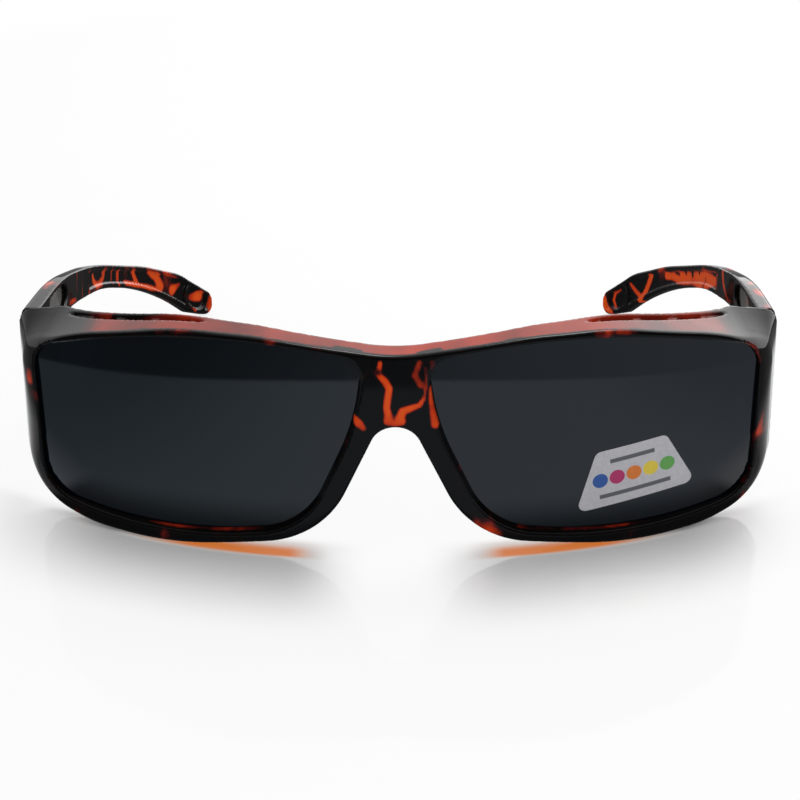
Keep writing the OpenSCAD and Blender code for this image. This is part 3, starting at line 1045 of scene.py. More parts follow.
def node_group(
    name: str, inputs: dict[str, str | float], outputs: dict[str, str], kind: str = "ShaderNodeTree"
) -> tuple[Tree, dict[str, Flow], Node]:
    """Starts a node group with named sockets.

    Args:
        name: The group's name.
        inputs: The kind of each input, or a number where it is one.
        outputs: The kind of each output.
        kind: The tree's type.

    Returns:
        The tree, the inputs by name and the output node.
    """
    group = bpy.data.node_groups.new(name, kind)
    for label, given in inputs.items():
        number = isinstance(given, float)
        socket = "NodeSocketFloat" if number else "NodeSocket" + given
        made = group.interface.new_socket(label, in_out="INPUT", socket_type=socket)
        if number:
            made.default_value = given
    for label, given in outputs.items():
        group.interface.new_socket(label, in_out="OUTPUT", socket_type="NodeSocket" + given)
    t = Tree(group)
    sockets = t.add("NodeGroupInput").outputs
    return t, {label: Flow(t, sockets[label]) for label in inputs}, t.add("NodeGroupOutput")


@functools.cache
def tortoise_group() -> NodeTree:
    """The moulded tortoiseshell: dark clouds drifting through clear amber, with soft red edges.

    Returns:
        The group, built once.
    """
    inputs = {"Vector": "Vector", "Amber": 0.0, "Cloud Scale": 120.0, "Calm": 0.0}
    t, given, out = node_group("tortoiseshell", inputs, {"Color": "Color"})
    scale, drift, fine_share, middle, contrast = given["Cloud Scale"], 0.004, 0.12, 0.56, 3.2
    bend = t.noise(given["Vector"], scale, 2.0, socket="Color")
    offset = t.vector("MULTIPLY", t.vector("SUBTRACT", bend, (0.5,) * 3), (drift,) * 3)
    warped = t.vector("ADD", given["Vector"], offset)
    cloud = t.noise(warped, scale, 1.5, 0.45)
    fine = t.noise(warped, scale * 4.0, 2.0)
    centred = (fine * fine_share + cloud - middle) * (1.0 - given["Calm"])
    amount = t.math("ADD", centred * contrast + 0.5, given["Amber"], clamp=True)
    colour = t.ramp(
        amount,
        [(0.0, (0.0026, 0.0022, 0.0022)), (0.36, (0.005, 0.0024, 0.0023)), (0.48, (0.06, 0.005, 0.004)),
         (0.62, (0.31, 0.021, 0.005)), (0.78, (0.63, 0.042, 0.004)), (1.0, (0.82, 0.09, 0.008))],
    )
    t.set(out, {"Color": colour})
    return t.tree


@functools.cache
def wear_group() -> NodeTree:
    """What handling leaves on a polished moulding: a faint haze, hairlines and the mould's ripple.

    Returns:
        The group, built once.
    """
    inputs = {"Vector": "Vector", "Low": 0.05, "High": 0.12, "Ripple Scale": 180.0}
    t, given, out = node_group("handled_gloss", inputs, {"Roughness": "Float", "Height": "Float"})
    haze = t.noise(given["Vector"], 60.0, 4.0, 0.6)
    hair = t.noise(t.lay(given["Vector"], (0.3, 0.7, 0.2), (2200.0, 90.0, 160.0)), 1.0, 1.0)
    line = t.smooth(hair, 0.66, 0.72)
    soft = haze * (given["High"] - given["Low"]) + given["Low"]
    ripple = t.noise(given["Vector"], given["Ripple Scale"], 1.0)
    t.set(out, {"Roughness": line * 0.05 + soft, "Height": line * -0.1 + ripple})
    return t.tree


@dataclass(frozen=True)
class Finish:
    """What every finish shares: its gloss, from low to high roughness, and its ripple's relief."""

    name: str
    low: float = 0.04
    high: float = 0.1
    ripple: float = 180.0
    relief: float = 0.00001
    ior: float = 1.46

    def start(self) -> tuple[Material, Tree, Node, Flow]:
        """Makes the material with its worn gloss.

        Returns:
            The material, its tree, its shader and the object coordinates.
        """
        material = bpy.data.materials.new(self.name)
        t = Tree.of(material)
        where = t.out("ShaderNodeTexCoord", socket="Object")
        worn = {"Vector": where, "Low": self.low, "High": self.high, "Ripple Scale": self.ripple}
        gloss = t.add("ShaderNodeGroup", node_tree=wear_group())
        rough, height = t.set(gloss, worn).outputs
        bump = t.out("ShaderNodeBump", {"Height": height, "Distance": self.relief, "Strength": 1.0})
        values = {"IOR": self.ior, "Roughness": rough, "Normal": bump}
        shader = t.add("ShaderNodeBsdfPrincipled", values)
        t.end(shader.outputs[0])
        return material, t, shader, where


@dataclass(frozen=True)
class Tortoiseshell(Finish):
    """Gloss tortoiseshell plastic, ruled by the amber painted on the piece."""

    stretch: Triple = (1.0, 1.0, 1.0)
    turn: Triple = (0.0, 0.0, 0.0)
    cloud: float = 110.0

    def material(self) -> Material:
        """Makes the material.

        Returns:
            The material.
        """
        material, t, shader, where = self.start()
        laid = t.lay(t.lay(where, turn=self.turn), stretch=self.stretch)
        amber, calm = (
            t.out("ShaderNodeAttribute", socket="Fac", attribute_name=name) for name in ("amber", "calm")
        )
        shell = t.add("ShaderNodeGroup", node_tree=tortoise_group())
        t.set(shell, {"Vector": laid, "Amber": amber, "Calm": calm, "Cloud Scale": self.cloud})
        t.set(shader, {"Base Color": shell.outputs["Color"]})
        return material


@dataclass(frozen=True)
class SmokeLens(Finish):
    """Dark grey tinted plastic, polished on both sides."""

    tint: Triple = (0.0007, 0.0018, 0.0048)
    clear: float = 0.5

    def material(self) -> Material:
        """Makes the material.

        Returns:
            The material.
        """
        material, t, shader, where = self.start()
        pale = tuple(min(1.0, c * 1.25 + 0.0003) for c in self.tint)
        colour = t.ramp(t.noise(where, 22.0, 3.0), [(0.3, self.tint), (0.75, pale)])
        t.set(shader, {"Base Color": colour, "Transmission Weight": self.clear})
        return material


@dataclass(frozen=True)
class SatinMetal(Finish):
    """Drawn nickel silver or steel with a fine grain."""

    pale: Triple = (0.55, 0.54, 0.5)
    dark: Triple = (0.3, 0.29, 0.27)

    def material(self) -> Material:
        """Makes the material.

        Returns:
            The material.
        """
        material, t, shader, where = self.start()
        grain = t.noise(t.lay(where, stretch=(600.0, 900.0, 9000.0)), 1.0, 2.0)
        t.set(shader, {"Base Color": t.ramp(grain, [(0.3, self.dark), (0.7, self.pale)]), "Metallic": 1.0})
        return material


@dataclass(frozen=True)
class PrintedFilm(Finish):
    """A pale film with a generic row of coloured beads between two thin bars, in mm."""

    at: Triple = (0.0, 0.0, 0.0)
    tilt: float = 8.0
    pitch: float = 3.45
    bead_r: float = 1.62
    bead_z: float = -0.2
    beads: tuple[Triple, ...] = (
        (0.03, 0.1, 0.36), (0.46, 0.03, 0.14), (0.72, 0.2, 0.03), (0.78, 0.6, 0.06), (0.13, 0.38, 0.09),
    )
    bars: tuple[tuple[float, float], ...] = ((3.6, 4.6), (-3.9, 7.4))
    ink: tuple[float, ...] = (0.12, 0.12, 0.14, 1.0)

    def material(self) -> Material:
        """Makes the material.

        Returns:
            The material.
        """
        material, t, shader, where = self.start()
        moved = t.vector("SUBTRACT", where, tuple(c * MM for c in self.at))
        level = t.lay(moved, (0.0, math.radians(self.tilt), 0.0), (1 / MM,) * 3)
        x, _, z = t.split(level)
        count = float(len(self.beads))
        cell = x / self.pitch + count / 2
        dx = (t.math("FRACT", cell) - 0.5) * self.pitch
        dz = z - self.bead_z
        away = t.math("SQRT", dx * dx + dz * dz)
        inside = t.math("GREATER_THAN", cell, 0.0) * t.math("LESS_THAN", cell, count)
        bead = t.smooth(away, self.bead_r, self.bead_r - 0.12) * inside
        stops = [(k / count, colour) for k, colour in enumerate(self.beads)]
        colour = t.ramp((t.math("FLOOR", cell) + 0.5) / count, stops, flat=True)
        film = t.ramp(t.noise(level, 1.5, 3.0), [(0.3, (0.5, 0.5, 0.53)), (0.7, (0.58, 0.57, 0.61))])
        upper, lower = (
            t.smooth(abs(z - height), 0.5, 0.42) * t.smooth(abs(x), half, half - 0.1)
            for height, half in self.bars
        )
        inked = t.tint(t.math("MAXIMUM", upper, lower), t.tint(bead, film, colour), self.ink)
        t.set(shader, {"Base Color": inked})
        return material


# Amber, painted on the pieces


@dataclass(frozen=True)
class Stroke:
    """A vein or patch of the pattern, or a painted glint: its amber, and a line of places, each with its half
    width.
    """

    lift: float
    places: tuple[Triple, ...]
    core: float = 0.4
    soft: float = 0.65

    def on(self, a: Array, b: Array) -> Array:
        """How much each point is under the stroke.

        Args:
            a: First coordinate of the points, in mm.
            b: Second coordinate of the points, in mm.

        Returns:
            From 0 to 1 at each point.
        """
        share = np.zeros(a.shape)
        for (ax, az, aw), (bx, bz, bw) in zip(self.places, self.places[1:]):
            ex, ez = bx - ax, bz - az
            t = np.clip(((a - ax) * ex + (b - az) * ez) / (ex * ex + ez * ez), 0, 1)
            width = aw + (bw - aw) * t
            away = np.hypot(a - ax - t * ex, b - az - t * ez)
            share = np.maximum(share, rise(away, width + self.soft, width * self.core))
        return share


def strokes(*rows: tuple) -> tuple[Stroke, ...]:
    """Makes strokes of rows, each an amber and its places."""
    return tuple(Stroke(lift, tuple(places)) for lift, *places in rows)


# Strokes on the front's face and walls, by X and height, and on the brow, by X and depth.
VEINS = strokes(
    (0.4, (-2.7, 42.6, 0.3), (-3.1, 40.3, 0.5), (-1.9, 38.9, 0.7), (-1.1, 37.3, 0.65), (-1.4, 35.2, 0.6),
     (-1.6, 33.3, 0.55), (-1.3, 31.6, 0.8), (-1.3, 30.5, 0.9)),
    (0.42, (-1.4, 30.4, 0.6), (-0.2, 29.9, 0.5), (1.2, 30.4, 0.8)),
    (0.34, (0.7, 30.8, 0.9), (1.5, 32.6, 0.8), (3.2, 33.3, 0.6), (4.6, 33.8, 0.45), (5.4, 35.2, 0.2)),
    (0.02, (5.5, 35.6, 0.15), (5.9, 38.0, 0.15), (5.8, 41.5, 0.1)),
    (0.4, (6.9, 37.2, 0.25), (6.9, 34.9, 0.5), (7.1, 32.4, 0.7), (7.6, 29.8, 1.0)),
    (0.0, (7.0, 42.7, 0.6), (7.2, 41.5, 0.7)),
    (-0.05, (4.7, 42.6, 0.6), (3.8, 40.0, 0.8), (4.9, 38.0, 0.8)),
    (0.36, (-7.5, 31.0, 0.6), (-6.9, 30.0, 1.0), (-6.0, 28.9, 0.6)),
    (-0.04, (-6.4, 39.2, 0.4), (-5.5, 40.3, 0.5)),
    (-0.02, (-4.4, 41.0, 0.4), (-3.2, 40.6, 0.5)),
    (0.0, (-9.4, 26.2, 0.3), (-9.8, 23.9, 0.35), (-10.5, 22.1, 0.3)),
    (0.1, (-15.3, 45.3, 0.35), (-13.6, 45.0, 0.35)),
    (0.03, (-12.6, 44.6, 0.3), (-10.8, 44.2, 0.4)),
    (0.0, (21.2, 46.1, 0.35), (23.4, 46.2, 0.4)),
    (-0.13, (-50.5, 44.8, 0.3), (-47.0, 45.4, 0.3)),
    (-0.12, (42.0, 46.2, 0.3), (45.9, 45.8, 0.3)),
    (0.02, (-73.4, 32.4, 0.7), (-73.7, 30.2, 0.7)),
    (-0.06, (-74.0, 22.0, 0.7), (-74.4, 17.5, 0.5)),
    (-0.03, (74.0, 23.6, 0.4), (73.4, 19.0, 0.6)),
)
# Painted glints: lighter amber on the openings' lower inner walls, standing in for light glowing through the
# rim's foot.
PAINTED_WALL_GLINTS = strokes(
    (-0.03, (-53.0, 2.6, 0.5), (-44.0, 3.2, 1.0), (-27.0, 5.2, 0.9)),
    (-0.05, (24.0, 5.4, 0.6), (34.0, 4.3, 1.0), (46.0, 3.4, 0.6)),
)
BROW_PATCHES = strokes(
    (-0.5, (-10.6, 2.2, 0.4), (-8.6, 1.9, 0.6), (-6.8, 1.6, 0.4)),
    (-0.5, (4.8, 1.4, 0.4), (6.4, 1.6, 0.6), (8.0, 1.9, 0.4)),
    (-0.35, (-56.0, 20.4, 0.6), (-50.0, 18.4, 0.8), (-46.0, 16.6, 0.4)),
)
# Strokes on the arms' inner sides, by length and height.
BARS = {
    Side.LEFT: strokes(
        (0.62, (44.6, -1.4, 1.3), (49.1, -1.9, 2.2), (59.6, -3.0, 2.4), (69.8, -4.3, 1.9),
         (76.0, -4.9, 0.8)),
        (-0.3, (56.6, 0.2, 0.2), (56.4, -1.3, 0.1)),
        (-0.4, (61.2, -0.5, 0.3), (60.8, -2.4, 0.15)),
        (-0.4, (65.2, -1.2, 0.3), (65.0, -2.5, 0.15)),
        (-0.1, (69.0, -3.4, 0.25), (71.0, -3.3, 0.2)),
        (-0.3, (52.0, -1.6, 0.1), (52.2, -4.6, 0.25)),
        (0.14, (44.2, 0.9, 0.3), (58.0, 0.4, 0.3), (72.0, -2.2, 0.2)),
        (0.56, (83.4, -5.2, 0.7), (84.8, -7.6, 1.1), (86.4, -10.6, 0.9), (88.6, -13.2, 0.9)),
        (0.54, (93.8, -10.0, 0.6), (91.4, -11.4, 0.9), (88.4, -12.8, 0.9)),
        (0.3, (98.2, -12.2, 0.2), (100.6, -13.6, 0.3), (101.2, -15.6, 0.3), (100.2, -17.2, 0.3)),
        (0.3, (104.7, -15.2, 0.8), (104.3, -18.0, 0.9), (101.4, -18.8, 0.6)),
        (0.2, (41.6, 0.9, 0.25), (41.9, -2.8, 0.3)),
        (0.24, (36.8, 1.8, 0.9), (35.6, -0.6, 0.7), (33.4, -2.2, 0.35), (31.6, -3.2, 0.35),
         (27.5, -3.6, 0.4)),
    ),
    Side.RIGHT: strokes(
        (0.06, (33.6, 2.2, 0.4), (32.7, -1.4, 0.5)),
        (0.22, (38.0, 2.2, 0.3), (37.4, -0.5, 0.35), (36.9, -3.8, 0.35)),
        (0.18, (43.5, 1.5, 0.25), (42.8, -2.7, 0.35), (41.6, -4.2, 0.4)),
        (0.24, (26.2, -3.2, 0.7), (31.4, -3.4, 0.6)),
        (0.38, (46.6, -0.2, 0.2), (47.0, -1.6, 0.4), (48.4, -2.8, 0.8), (50.6, -2.8, 0.7),
         (53.2, -1.9, 0.8), (53.6, -0.6, 1.1), (54.0, 0.7, 1.0)),
        (0.2, (52.5, 0.8, 0.35), (62.5, 0.0, 0.35)),
        (0.2, (58.6, -0.2, 0.25), (58.1, -4.2, 0.35)),
        (0.4, (62.2, -0.3, 0.8), (61.7, -4.6, 0.9)),
        (0.34, (68.9, -0.9, 0.35), (69.8, -2.0, 0.45), (71.3, -4.6, 0.6), (72.2, -6.2, 1.0)),
        (0.42, (65.5, -5.0, 0.3), (73.2, -6.9, 0.55), (82.6, -9.5, 0.45)),
        (0.44, (76.8, -2.8, 0.4), (79.5, -4.4, 1.2), (82.1, -6.1, 1.4), (83.8, -9.0, 1.5)),
        (0.26, (77.9, -2.8, 0.3), (85.7, -5.4, 0.4), (91.6, -7.6, 0.35)),
        (0.42, (89.4, -10.8, 1.4), (92.4, -9.8, 0.8)),
        (0.5, (97.2, -14.0, 1.5), (100.4, -14.2, 1.6)),
        (0.3, (93.6, -12.0, 0.2), (95.4, -15.6, 0.25)),
        (0.12, (104.7, -14.4, 0.7), (104.3, -19.0, 0.7)),
        (0.24, (94.1, -15.2, 0.4), (98.2, -17.8, 0.5)),
    ),
}


class Pattern:
    """How amber each vertex is, and how little the clouds disturb it."""

    def __init__(self, amber: Array, calm: Array) -> None:
        """Starts from a base."""
        self.amber, self.calm = amber, calm

    def lay(self, laid: tuple[Stroke, ...], a: Array, b: Array, mask: Array, calm: float) -> None:
        """Lays strokes over it, where a mask allows them.

        Args:
            laid: What is laid on it.
            a: First coordinate, in mm.
            b: Second coordinate, in mm.
            mask: From 0 to 1.
            calm: How much the strokes still the clouds.
        """
        for stroke in laid:
            share = stroke.on(a, b) * mask
            self.amber = toward(self.amber, stroke.lift, share)
            self.calm = toward(self.calm, calm, share)

    def paint(self, piece: Object) -> None:
        """Writes both onto a piece, one number per vertex.

        Args:
            piece: The piece, whose vertices are in the pattern's order.
        """
        for name, values in (("amber", self.amber), ("calm", self.calm)):
            layer = piece.data.attributes.new(name, "FLOAT", "POINT")
            layer.data.foreach_set("value", values.astype(np.float32))


# Sub-assemblies


@dataclass(frozen=True)
class Front:
    """The front moulding with its lenses and sticker: sizes in mm, and how amber and calm its pattern and its
    painted glow are.
    """

    body: str = "front"
    lens_play: float = 0.03
    lens_edge: float = 0.4
    sticker_w: float = 25.0
    sticker_h: float = 12.5
    sticker_top: float = 14.35
    sticker_x: float = 47.0
    sticker_z: float = 15.0
    sticker_tilt: float = 8.0
    sticker_r: float = 1.5
    film_t: float = 0.149
    film_up: float = 0.15
    film_edge: float = 0.05
    dark: float = -0.56
    side_and_foot_glow_more: float = 0.1
    bridge_more: float = -0.06
    brow_dark: float = -0.45
    brow_more: float = 0.5
    centre_more: float = 0.09
    brow_calm: float = 0.92
    bridge_calm: float = 0.85
    vein_calm: float = 0.45
    patch_calm: float = 0.6
    shell: Tortoiseshell = Tortoiseshell(
        "front_tortoiseshell", ior=1.29, stretch=(1.0, 0.7, 0.8), cloud=115.0
    )
    lens: SmokeLens = SmokeLens("smoke_lens", low=0.015, high=0.04, ripple=25.0, relief=0.000003, ior=1.65)

    def pattern(self, q: Array) -> Pattern:
        """Where the front is clear amber and where it is dark, with a painted glow and glints low on the
        walls under the lenses.

        Args:
            q: Rows of X, depth and height, in mm.

        Returns:
            The pattern at each row.
        """
        x, y, z = q.T
        wide, deep = np.abs(x), S.behind(x, y)
        face = rise(deep, 2.1, 0.9)
        top = rise(deep, 0.7, 1.4) * rise(z + 0.05 * wide, 38, 40.5)
        middle = rise(x, -71, -56) * rise(x, 73, 62)
        centre = rise(np.abs(x - 12), 38, 16)
        side = rise(wide, 66, 70) * rise(z, 38, 34)
        # Painted glow: below the lenses and off the face, the amber is raised where light shines through the
        # rim's foot.
        foot = rise(z, 9, 5) * (1 - face)
        bridge = face * rise(wide, 13, 8)
        wall = rise(deep, 0.7, 1.2) * rise(deep, 3.6, 2.6)
        amber = self.dark + self.side_and_foot_glow_more * (side + foot) + self.bridge_more * bridge
        brow = self.brow_dark + (self.brow_more + self.centre_more * centre) * middle
        calm = np.maximum(self.brow_calm * rise(top, 0, 1 / 3), self.bridge_calm * bridge)
        pattern = Pattern(toward(amber, brow, top), calm)
        pattern.lay(VEINS, x, z, face, self.vein_calm)
        pattern.lay(PAINTED_WALL_GLINTS, x, z, wall, self.patch_calm)
        pattern.lay(BROW_PATCHES, x, y, top, self.patch_calm)
        return pattern

    def build(self) -> None:
        """Makes the front's pieces."""
        q, faces = FrontMould().mesh()
        piece = moulding("front_moulding", (q - (0, S.overall_d / 2, 0)) * MM, faces)
        self.pattern(q).paint(piece)
        piece.data.materials.append(self.shell.material())
        settle(piece, "front_frame", self.body)
        shift = Matrix.Translation((0, -S.overall_d / 2 * MM, 0))
        smoke = self.lens.material()
        outline = Outline(lens_corners(S.groove - self.lens_play)).points(0.9)
        for side in Side:
            sheet = CurvedSheet(
                "lens_%s_glass" % side.label, outline * (side.value, 1), (S.lens_x * side.value, S.lens_z),
                S.lens_set, S.lens_t, S.lens_wrap_r, self.lens_edge,
            )
            settle(sheet.build(smoke, shift), "lens_" + side.label, self.body)
        settle(self.sticker(shift), "lens_sticker", self.body)

    def sticker(self, shift: Matrix) -> Object:
        """Makes the sticker's film on the wearer's left lens.

        Args:
            shift: Takes the front's own axes to the frame.

        Returns:
            The film.
        """
        w, h, top, r = self.sticker_w / 2, self.sticker_h / 2, self.sticker_top / 2, self.sticker_r
        a, b = Outline([(-w, -h, r), (w, -h, r), (top, h, r), (-top, h, r)]).points(0.4).T
        c, s = turned(self.sticker_tilt)
        x, z = self.sticker_x, self.sticker_z
        placed = np.stack([x + c * a - s * b, z + s * a + c * b], 1)
        film = PrintedFilm("printed_film", low=0.22, high=0.3, at=(x, 0, z), tilt=self.sticker_tilt)
        sheet = CurvedSheet(
            "sticker_film", placed, (x, z), S.lens_set - self.film_up, self.film_t, S.lens_wrap_r,
            self.film_edge, rings=14,
        )
        return sheet.build(film.material(), shift)


@dataclass(frozen=True)
class Temple:
    """A temple with its side window: sizes in mm, and how amber and calm its pattern is."""

    side: Side
    mould: tuple[Array, Array]
    window_seat: float = 0.55
    window_edge: float = 0.35
    flat_r: float = 1.0e6
    outer_amber: float = -0.3
    rear_more: float = 0.12
    inner_amber: float = -0.5
    edge_amber: float = -0.42
    inner_calm: float = 0.35
    edge_calm: float = 0.3
    edge_cover: float = 0.75
    bar_calm: float = 0.55

    SHELL = Tortoiseshell(
        "temple_tortoiseshell", ior=1.4, stretch=(1.0, 1.0, 0.45), turn=(math.radians(S.slope), 0.0, 0.0),
        cloud=105.0,
    )
    LENS = SmokeLens(
        "side_window_tint", low=0.03, high=0.06, ripple=40.0, relief=0.000004,
        tint=(0.22, 0.214, 0.205), clear=0.35,
    )

    def pattern(self, q: Array) -> Pattern:
        """Where the temple is clear amber and where it is dark.

        Args:
            q: Rows of length, X and height, in mm.

        Returns:
            The pattern at each row.
        """
        u, x, v = q.T
        inner = rise(TempleMould.below(u, x), 1.9, 2.7)
        rear = rise(u, 40, 52)
        places = np.arange(math.floor(u.min()), math.ceil(u.max()) + 1)
        tops = np.full(len(places), v.min())
        np.maximum.at(tops, np.rint(u - places[0]).astype(int), v)
        edge = rise(v - np.interp(u, places, tops), -1.5, -0.8) * rear
        amber = toward(self.outer_amber + self.rear_more * rear, self.inner_amber, inner)
        calm = np.maximum(self.inner_calm * inner, self.edge_calm * edge)
        pattern = Pattern(toward(amber, self.edge_amber, edge), calm)
        pattern.lay(BARS[self.side], u, v, inner * (1 - self.edge_cover * edge), self.bar_calm)
        return pattern

    def build(self, shell: Material, smoke: Material) -> None:
        """Makes the temple's pieces.

        Args:
            shell: The tortoiseshell.
            smoke: The window's tint.
        """
        label, body = self.side.label, "temple_%s_body" % self.side.label
        q, faces = self.mould
        y, z = S.from_temple(q[:, 0], q[:, 2])
        verts = np.stack([q[:, 1] * self.side.value, y - S.overall_d / 2, z], 1) * MM
        piece = moulding("temple_%s_moulding" % label, verts, faces)
        self.pattern(q).paint(piece)
        piece.data.materials.append(shell)
        settle(piece, "temple_" + label, body)
        settle(self.window(smoke), "side_lens_" + label, body)

    def window(self, smoke: Material) -> Object:
        """Makes the side window, set in the middle of the shield's wall.

        Args:
            smoke: Its tint.

        Returns:
            The window.
        """
        points = Outline(TempleMould.window).points(0.35)
        middle = points.mean(0)
        away = points - middle
        grown = middle + away * (1 + self.window_seat / np.linalg.norm(away, axis=1))[:, None]
        deep = (S.temple_t - S.side_lens_t) / 2
        (c, s), sign = turned(S.slope), self.side.value
        rows = [
            (0, -sign, 0, sign * S.rear_x * MM),
            (c, 0, s, (S.joint_y - S.overall_d / 2) * MM),
            (-s, 0, c, S.joint_z * MM),
            (0, 0, 0, 1),
        ]
        sheet = CurvedSheet(
            "side_window_%s" % self.side.label, grown, (float(middle[0]), float(middle[1])), deep,
            S.side_lens_t, self.flat_r, self.window_edge, rings=14,
        )
        return sheet.build(smoke, Matrix(rows))


@dataclass(frozen=True)
class Hinges:
    """The metal hinges, which keep their solids."""

    leaf: SatinMetal = SatinMetal("nickel_silver", low=0.22, high=0.34)
    screw: SatinMetal = SatinMetal("screw_steel", low=0.2, high=0.3, pale=(0.42,) * 3, dark=(0.22,) * 3)

    def dress(self) -> None:
        """Gives the leaves and screws their finishes."""
        leaf, screw = self.leaf.material(), self.screw.material()
        finishes = {"front_hinge_leaf_": leaf, "temple_hinge_leaf_": leaf, "hinge_screw_": screw}
        for side in Side:
            for node, material in finishes.items():
                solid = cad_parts[node + side.label]
                solid.data.materials.clear()
                solid.data.materials.append(material)
                log.info("%s keeps its solid", solid.name)


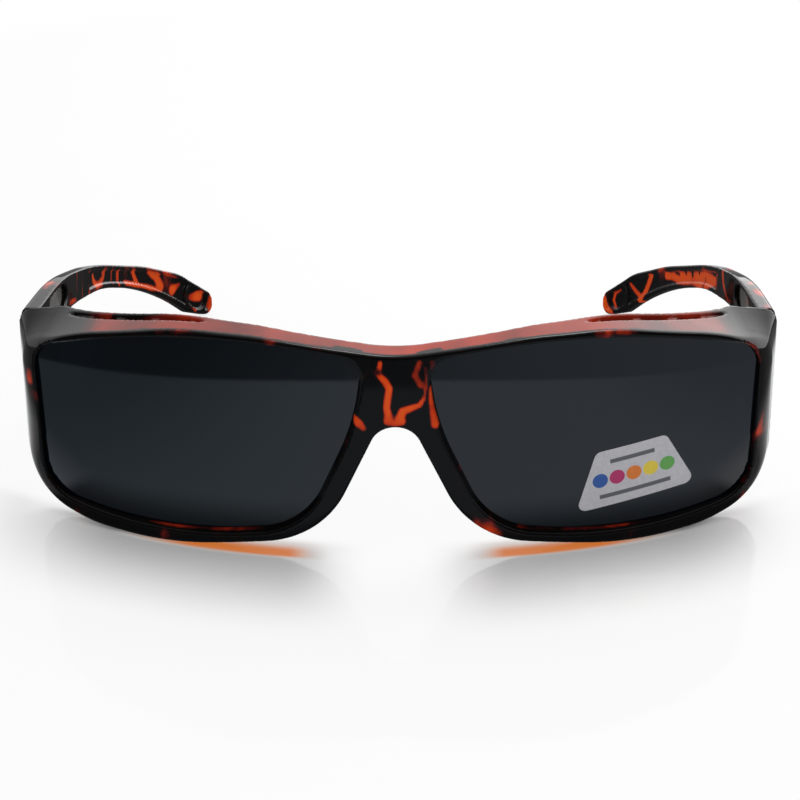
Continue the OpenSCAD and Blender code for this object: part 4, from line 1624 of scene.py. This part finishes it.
@dataclass(frozen=True)
class Studio:
    """The pale table, the white surround, the soft light and the camera.

    The camera's place is in mm before and above the bridge's face, and the rest is in metres.
    """

    camera_at: Triple = (7.3, -252.0, 155.84)
    pitch: float = 25.619
    focal_px: float = 1492.4
    axis_px: float = 433.9
    picture_px: float = 800.0
    sensor: float = 36.0
    table_half: float = 3.0
    table_cells: int = 24
    table_z: float = -0.0002
    painted_reflection_bow: float = 0.33
    lamp_at: Triple = (0.15, 0.4, 0.8)
    lamp_size: float = 0.35
    lamp_watts: float = 2.9
    plain_sky: float = 0.8

    def camera(self) -> None:
        """Sets the camera at the photograph's viewpoint."""
        data = bpy.data.cameras.new("camera")
        data.sensor_width = self.sensor
        data.lens = self.focal_px * self.sensor / self.picture_px
        data.shift_x = (self.picture_px / 2 - self.axis_px) / self.picture_px
        data.clip_start, data.clip_end = 0.01, 20.0
        eye = in_scene("camera", data)
        eye.location = (Vector(self.camera_at) - Vector((0, S.overall_d / 2, 0))) * MM
        eye.rotation_euler = (math.radians(90 - self.pitch), 0, 0)
        bpy.context.scene.camera = eye

    def table(self) -> None:
        """Lays the glossy white table."""
        n = self.table_cells
        line = np.linspace(-self.table_half, self.table_half, n + 1)
        gx, gy = np.meshgrid(line, line, indexing="ij")
        verts = np.stack([gx.ravel(), gy.ravel(), np.full(gx.size, self.table_z)], 1)
        i, j = np.meshgrid(np.arange(n), np.arange(n), indexing="ij")
        k = (i * (n + 1) + j).ravel()
        faces = np.stack([k, k + n + 1, k + n + 2, k + 1], 1)
        floor = mesh_object("table", verts, faces, smooth=False)
        floor.data.materials.append(self.table_finish())

    def table_finish(self) -> Material:
        """Makes the table's white gloss, with a painted strip of amber light under the front's rims.

        Returns:
            The material.
        """
        material = bpy.data.materials.new("white_table")
        t = Tree.of(material)
        where = t.out("ShaderNodeTexCoord", socket="Object")
        rays = t.add("ShaderNodeLightPath").outputs
        white = t.ramp(t.noise(where, 40.0, 3.0), [(0.3, (0.79,) * 3), (0.7, (0.81,) * 3)])
        gloss = t.out("ShaderNodeBsdfPrincipled", {"Roughness": 0.08, "IOR": 1.6, "Base Color": white})
        x, y, _ = t.split(where)
        wide, depth = abs(x), y + S.overall_d / 2 * MM
        ahead = x * x / (2 * S.wrap_r * MM) - depth
        # Painted light: a strip under the rims, clear of the middle and the ends, glows amber for the camera.
        # It stands in for light shone through the amber.
        under = t.smooth(ahead, -0.007, -0.002) * t.smooth(ahead, 0.0012, -0.0006)
        through = under * t.smooth(wide, 0.062, 0.04) * t.smooth(wide, 0.013, 0.022)
        white_and_painted_amber = t.ramp(through, [(0.0, (1.0,) * 3), (0.4, (0.66, 0.5, 0.42)), (1.0, (0.66, 0.17, 0.02))])
        white_and_painted_glow = t.out("ShaderNodeEmission", {"Color": white_and_painted_amber, "Strength": 1.0})
        share = t.math("MAXIMUM", self.clear_of_front(t, ahead, wide, y), through * 0.85)
        lit_and_painted_floor = t.mix(share * rays["Is Camera Ray"], gloss, white_and_painted_glow)
        # Glossy rays see the table's painted reflection instead of its lit self.
        t.end(t.mix(rays["Is Glossy Ray"], lit_and_painted_floor, self.mirrored(t, x, depth, ahead)))
        return material

    @staticmethod
    def clear_of_front(t: Tree, ahead: Flow, wide: Flow, y: Flow) -> Flow:
        """How far the table is from the front's foot. Near the foot the table's rendered shadow and
        reflection show. The fade from there to plain white is set by place, so the shadow is partly painted
        shade.

        Args:
            t: The table's tree.
            ahead: Distance of a place before the front's wrapped face.
            wide: Distance from the middle.
            y: The second coordinate.

        Returns:
            From little at the foot to 1 far from the object.
        """
        beside = t.smooth(ahead, 0.029, 0.0) * t.smooth(ahead, -0.008, -0.003)
        share = beside * t.smooth(wide, 0.1, 0.055) * t.smooth(wide, 0.004, 0.022)
        return t.math("MAXIMUM", share * -0.8 + 0.84, t.smooth(wide + abs(y), 0.3, 0.7))

    def mirrored(self, t: Tree, x: Flow, depth: Flow, ahead: Flow) -> Flow:
        """What the table looks like in the gloss of the object: painted light and shade, in zones set by
        place rather than lit.

        Args:
            t: The table's tree.
            x: The first coordinate.
            depth: Distance of a place behind the bridge's face.
            ahead: Distance of a place before the front's wrapped face.

        Returns:
            The shader.
        """
        # Painted reflection: levels and tints set by place, darker in front and brighter beside, behind and
        # towards +X, for the object's gloss to show.
        near = t.smooth(depth + 0.08 - x * x / self.painted_reflection_bow, -0.0015, 0.0015)
        near_level = t.smooth(x, -0.13, -0.01, (0.24, 0.55)) * t.smooth(x, 0.07, 0.14, (1.0, 0.7))
        far_level = t.smooth(x, -0.13, 0.12, (0.08, 0.36))
        front_level = near * (near_level - far_level) + far_level
        front_level = front_level * t.smooth(ahead, 0.004, 0.02, (0.25, 1.0))
        beside = t.smooth(abs(x), 0.077, 0.084) * t.smooth(abs(x), 0.135, 0.104, (0.12, 1.0))
        rear = t.smooth(depth, 0.0, 0.02)
        level = rear * (beside * 0.9 + 0.08 - front_level) + front_level
        hue = (t.smooth(x, -0.12, 0.12) + rear * 2.0) * 0.5
        pale, paler, white = (0.68, 0.9, 1.0), (0.76, 0.88, 1.0), (0.97, 0.98, 1.0)
        cool = t.ramp(hue, [(0.0, pale), (0.2, paler), (0.5, paler), (0.8, white)])
        return t.out("ShaderNodeEmission", {"Color": cool, "Strength": level})

    def surround(self) -> None:
        """Surrounds the scene with white, dimmer low in front, where the room is dark."""
        world = bpy.data.worlds.new("white_room")
        t = Tree.of(world)
        rays = t.add("ShaderNodeLightPath").outputs
        x, y, z = t.split(t.out("ShaderNodeTexCoord", socket="Generated"))
        low = t.smooth(y, -0.1, 0.35) * t.smooth(x, -0.4, 0.5, (0.8, 2.4))
        seen = t.math("MAXIMUM", low, t.smooth(z, 0.7, 0.95, (0.05, 0.5)))
        plain = (seen - self.plain_sky) * rays["Is Glossy Ray"] + self.plain_sky
        strength = t.math("MAXIMUM", plain, rays["Is Camera Ray"])
        t.end(t.out("ShaderNodeBackground", {"Color": (1, 1, 1, 1), "Strength": strength}), "World")
        bpy.context.scene.world = world

    def lamp(self) -> None:
        """Hangs a soft light above and behind."""
        data = bpy.data.lights.new("softbox_back", "AREA")
        data.shape, data.size, data.energy = "SQUARE", self.lamp_size, self.lamp_watts
        hung = in_scene("softbox_back", data)
        hung.location = self.lamp_at
        hung.rotation_euler = (-Vector(self.lamp_at)).to_track_quat("-Z", "Y").to_euler()

    def build(self) -> None:
        """Sets everything that isn't the object."""
        self.camera()
        self.table()
        self.surround()
        self.lamp()
        bpy.context.scene.view_settings.view_transform = "Standard"
        log.info("the studio stands")


def main() -> None:
    """Builds the studio and the sunglasses, in order."""
    logging.basicConfig(level=logging.INFO, format="%(name)s: %(message)s", stream=sys.stdout)
    Studio().build()
    Front().build()
    shell, smoke = Temple.SHELL.material(), Temple.LENS.material()
    mould = TempleMould().mesh()
    for side in Side:
        Temple(side, mould).build(shell, smoke)
    Hinges().dress()


if __name__ == "__main__":
    main()
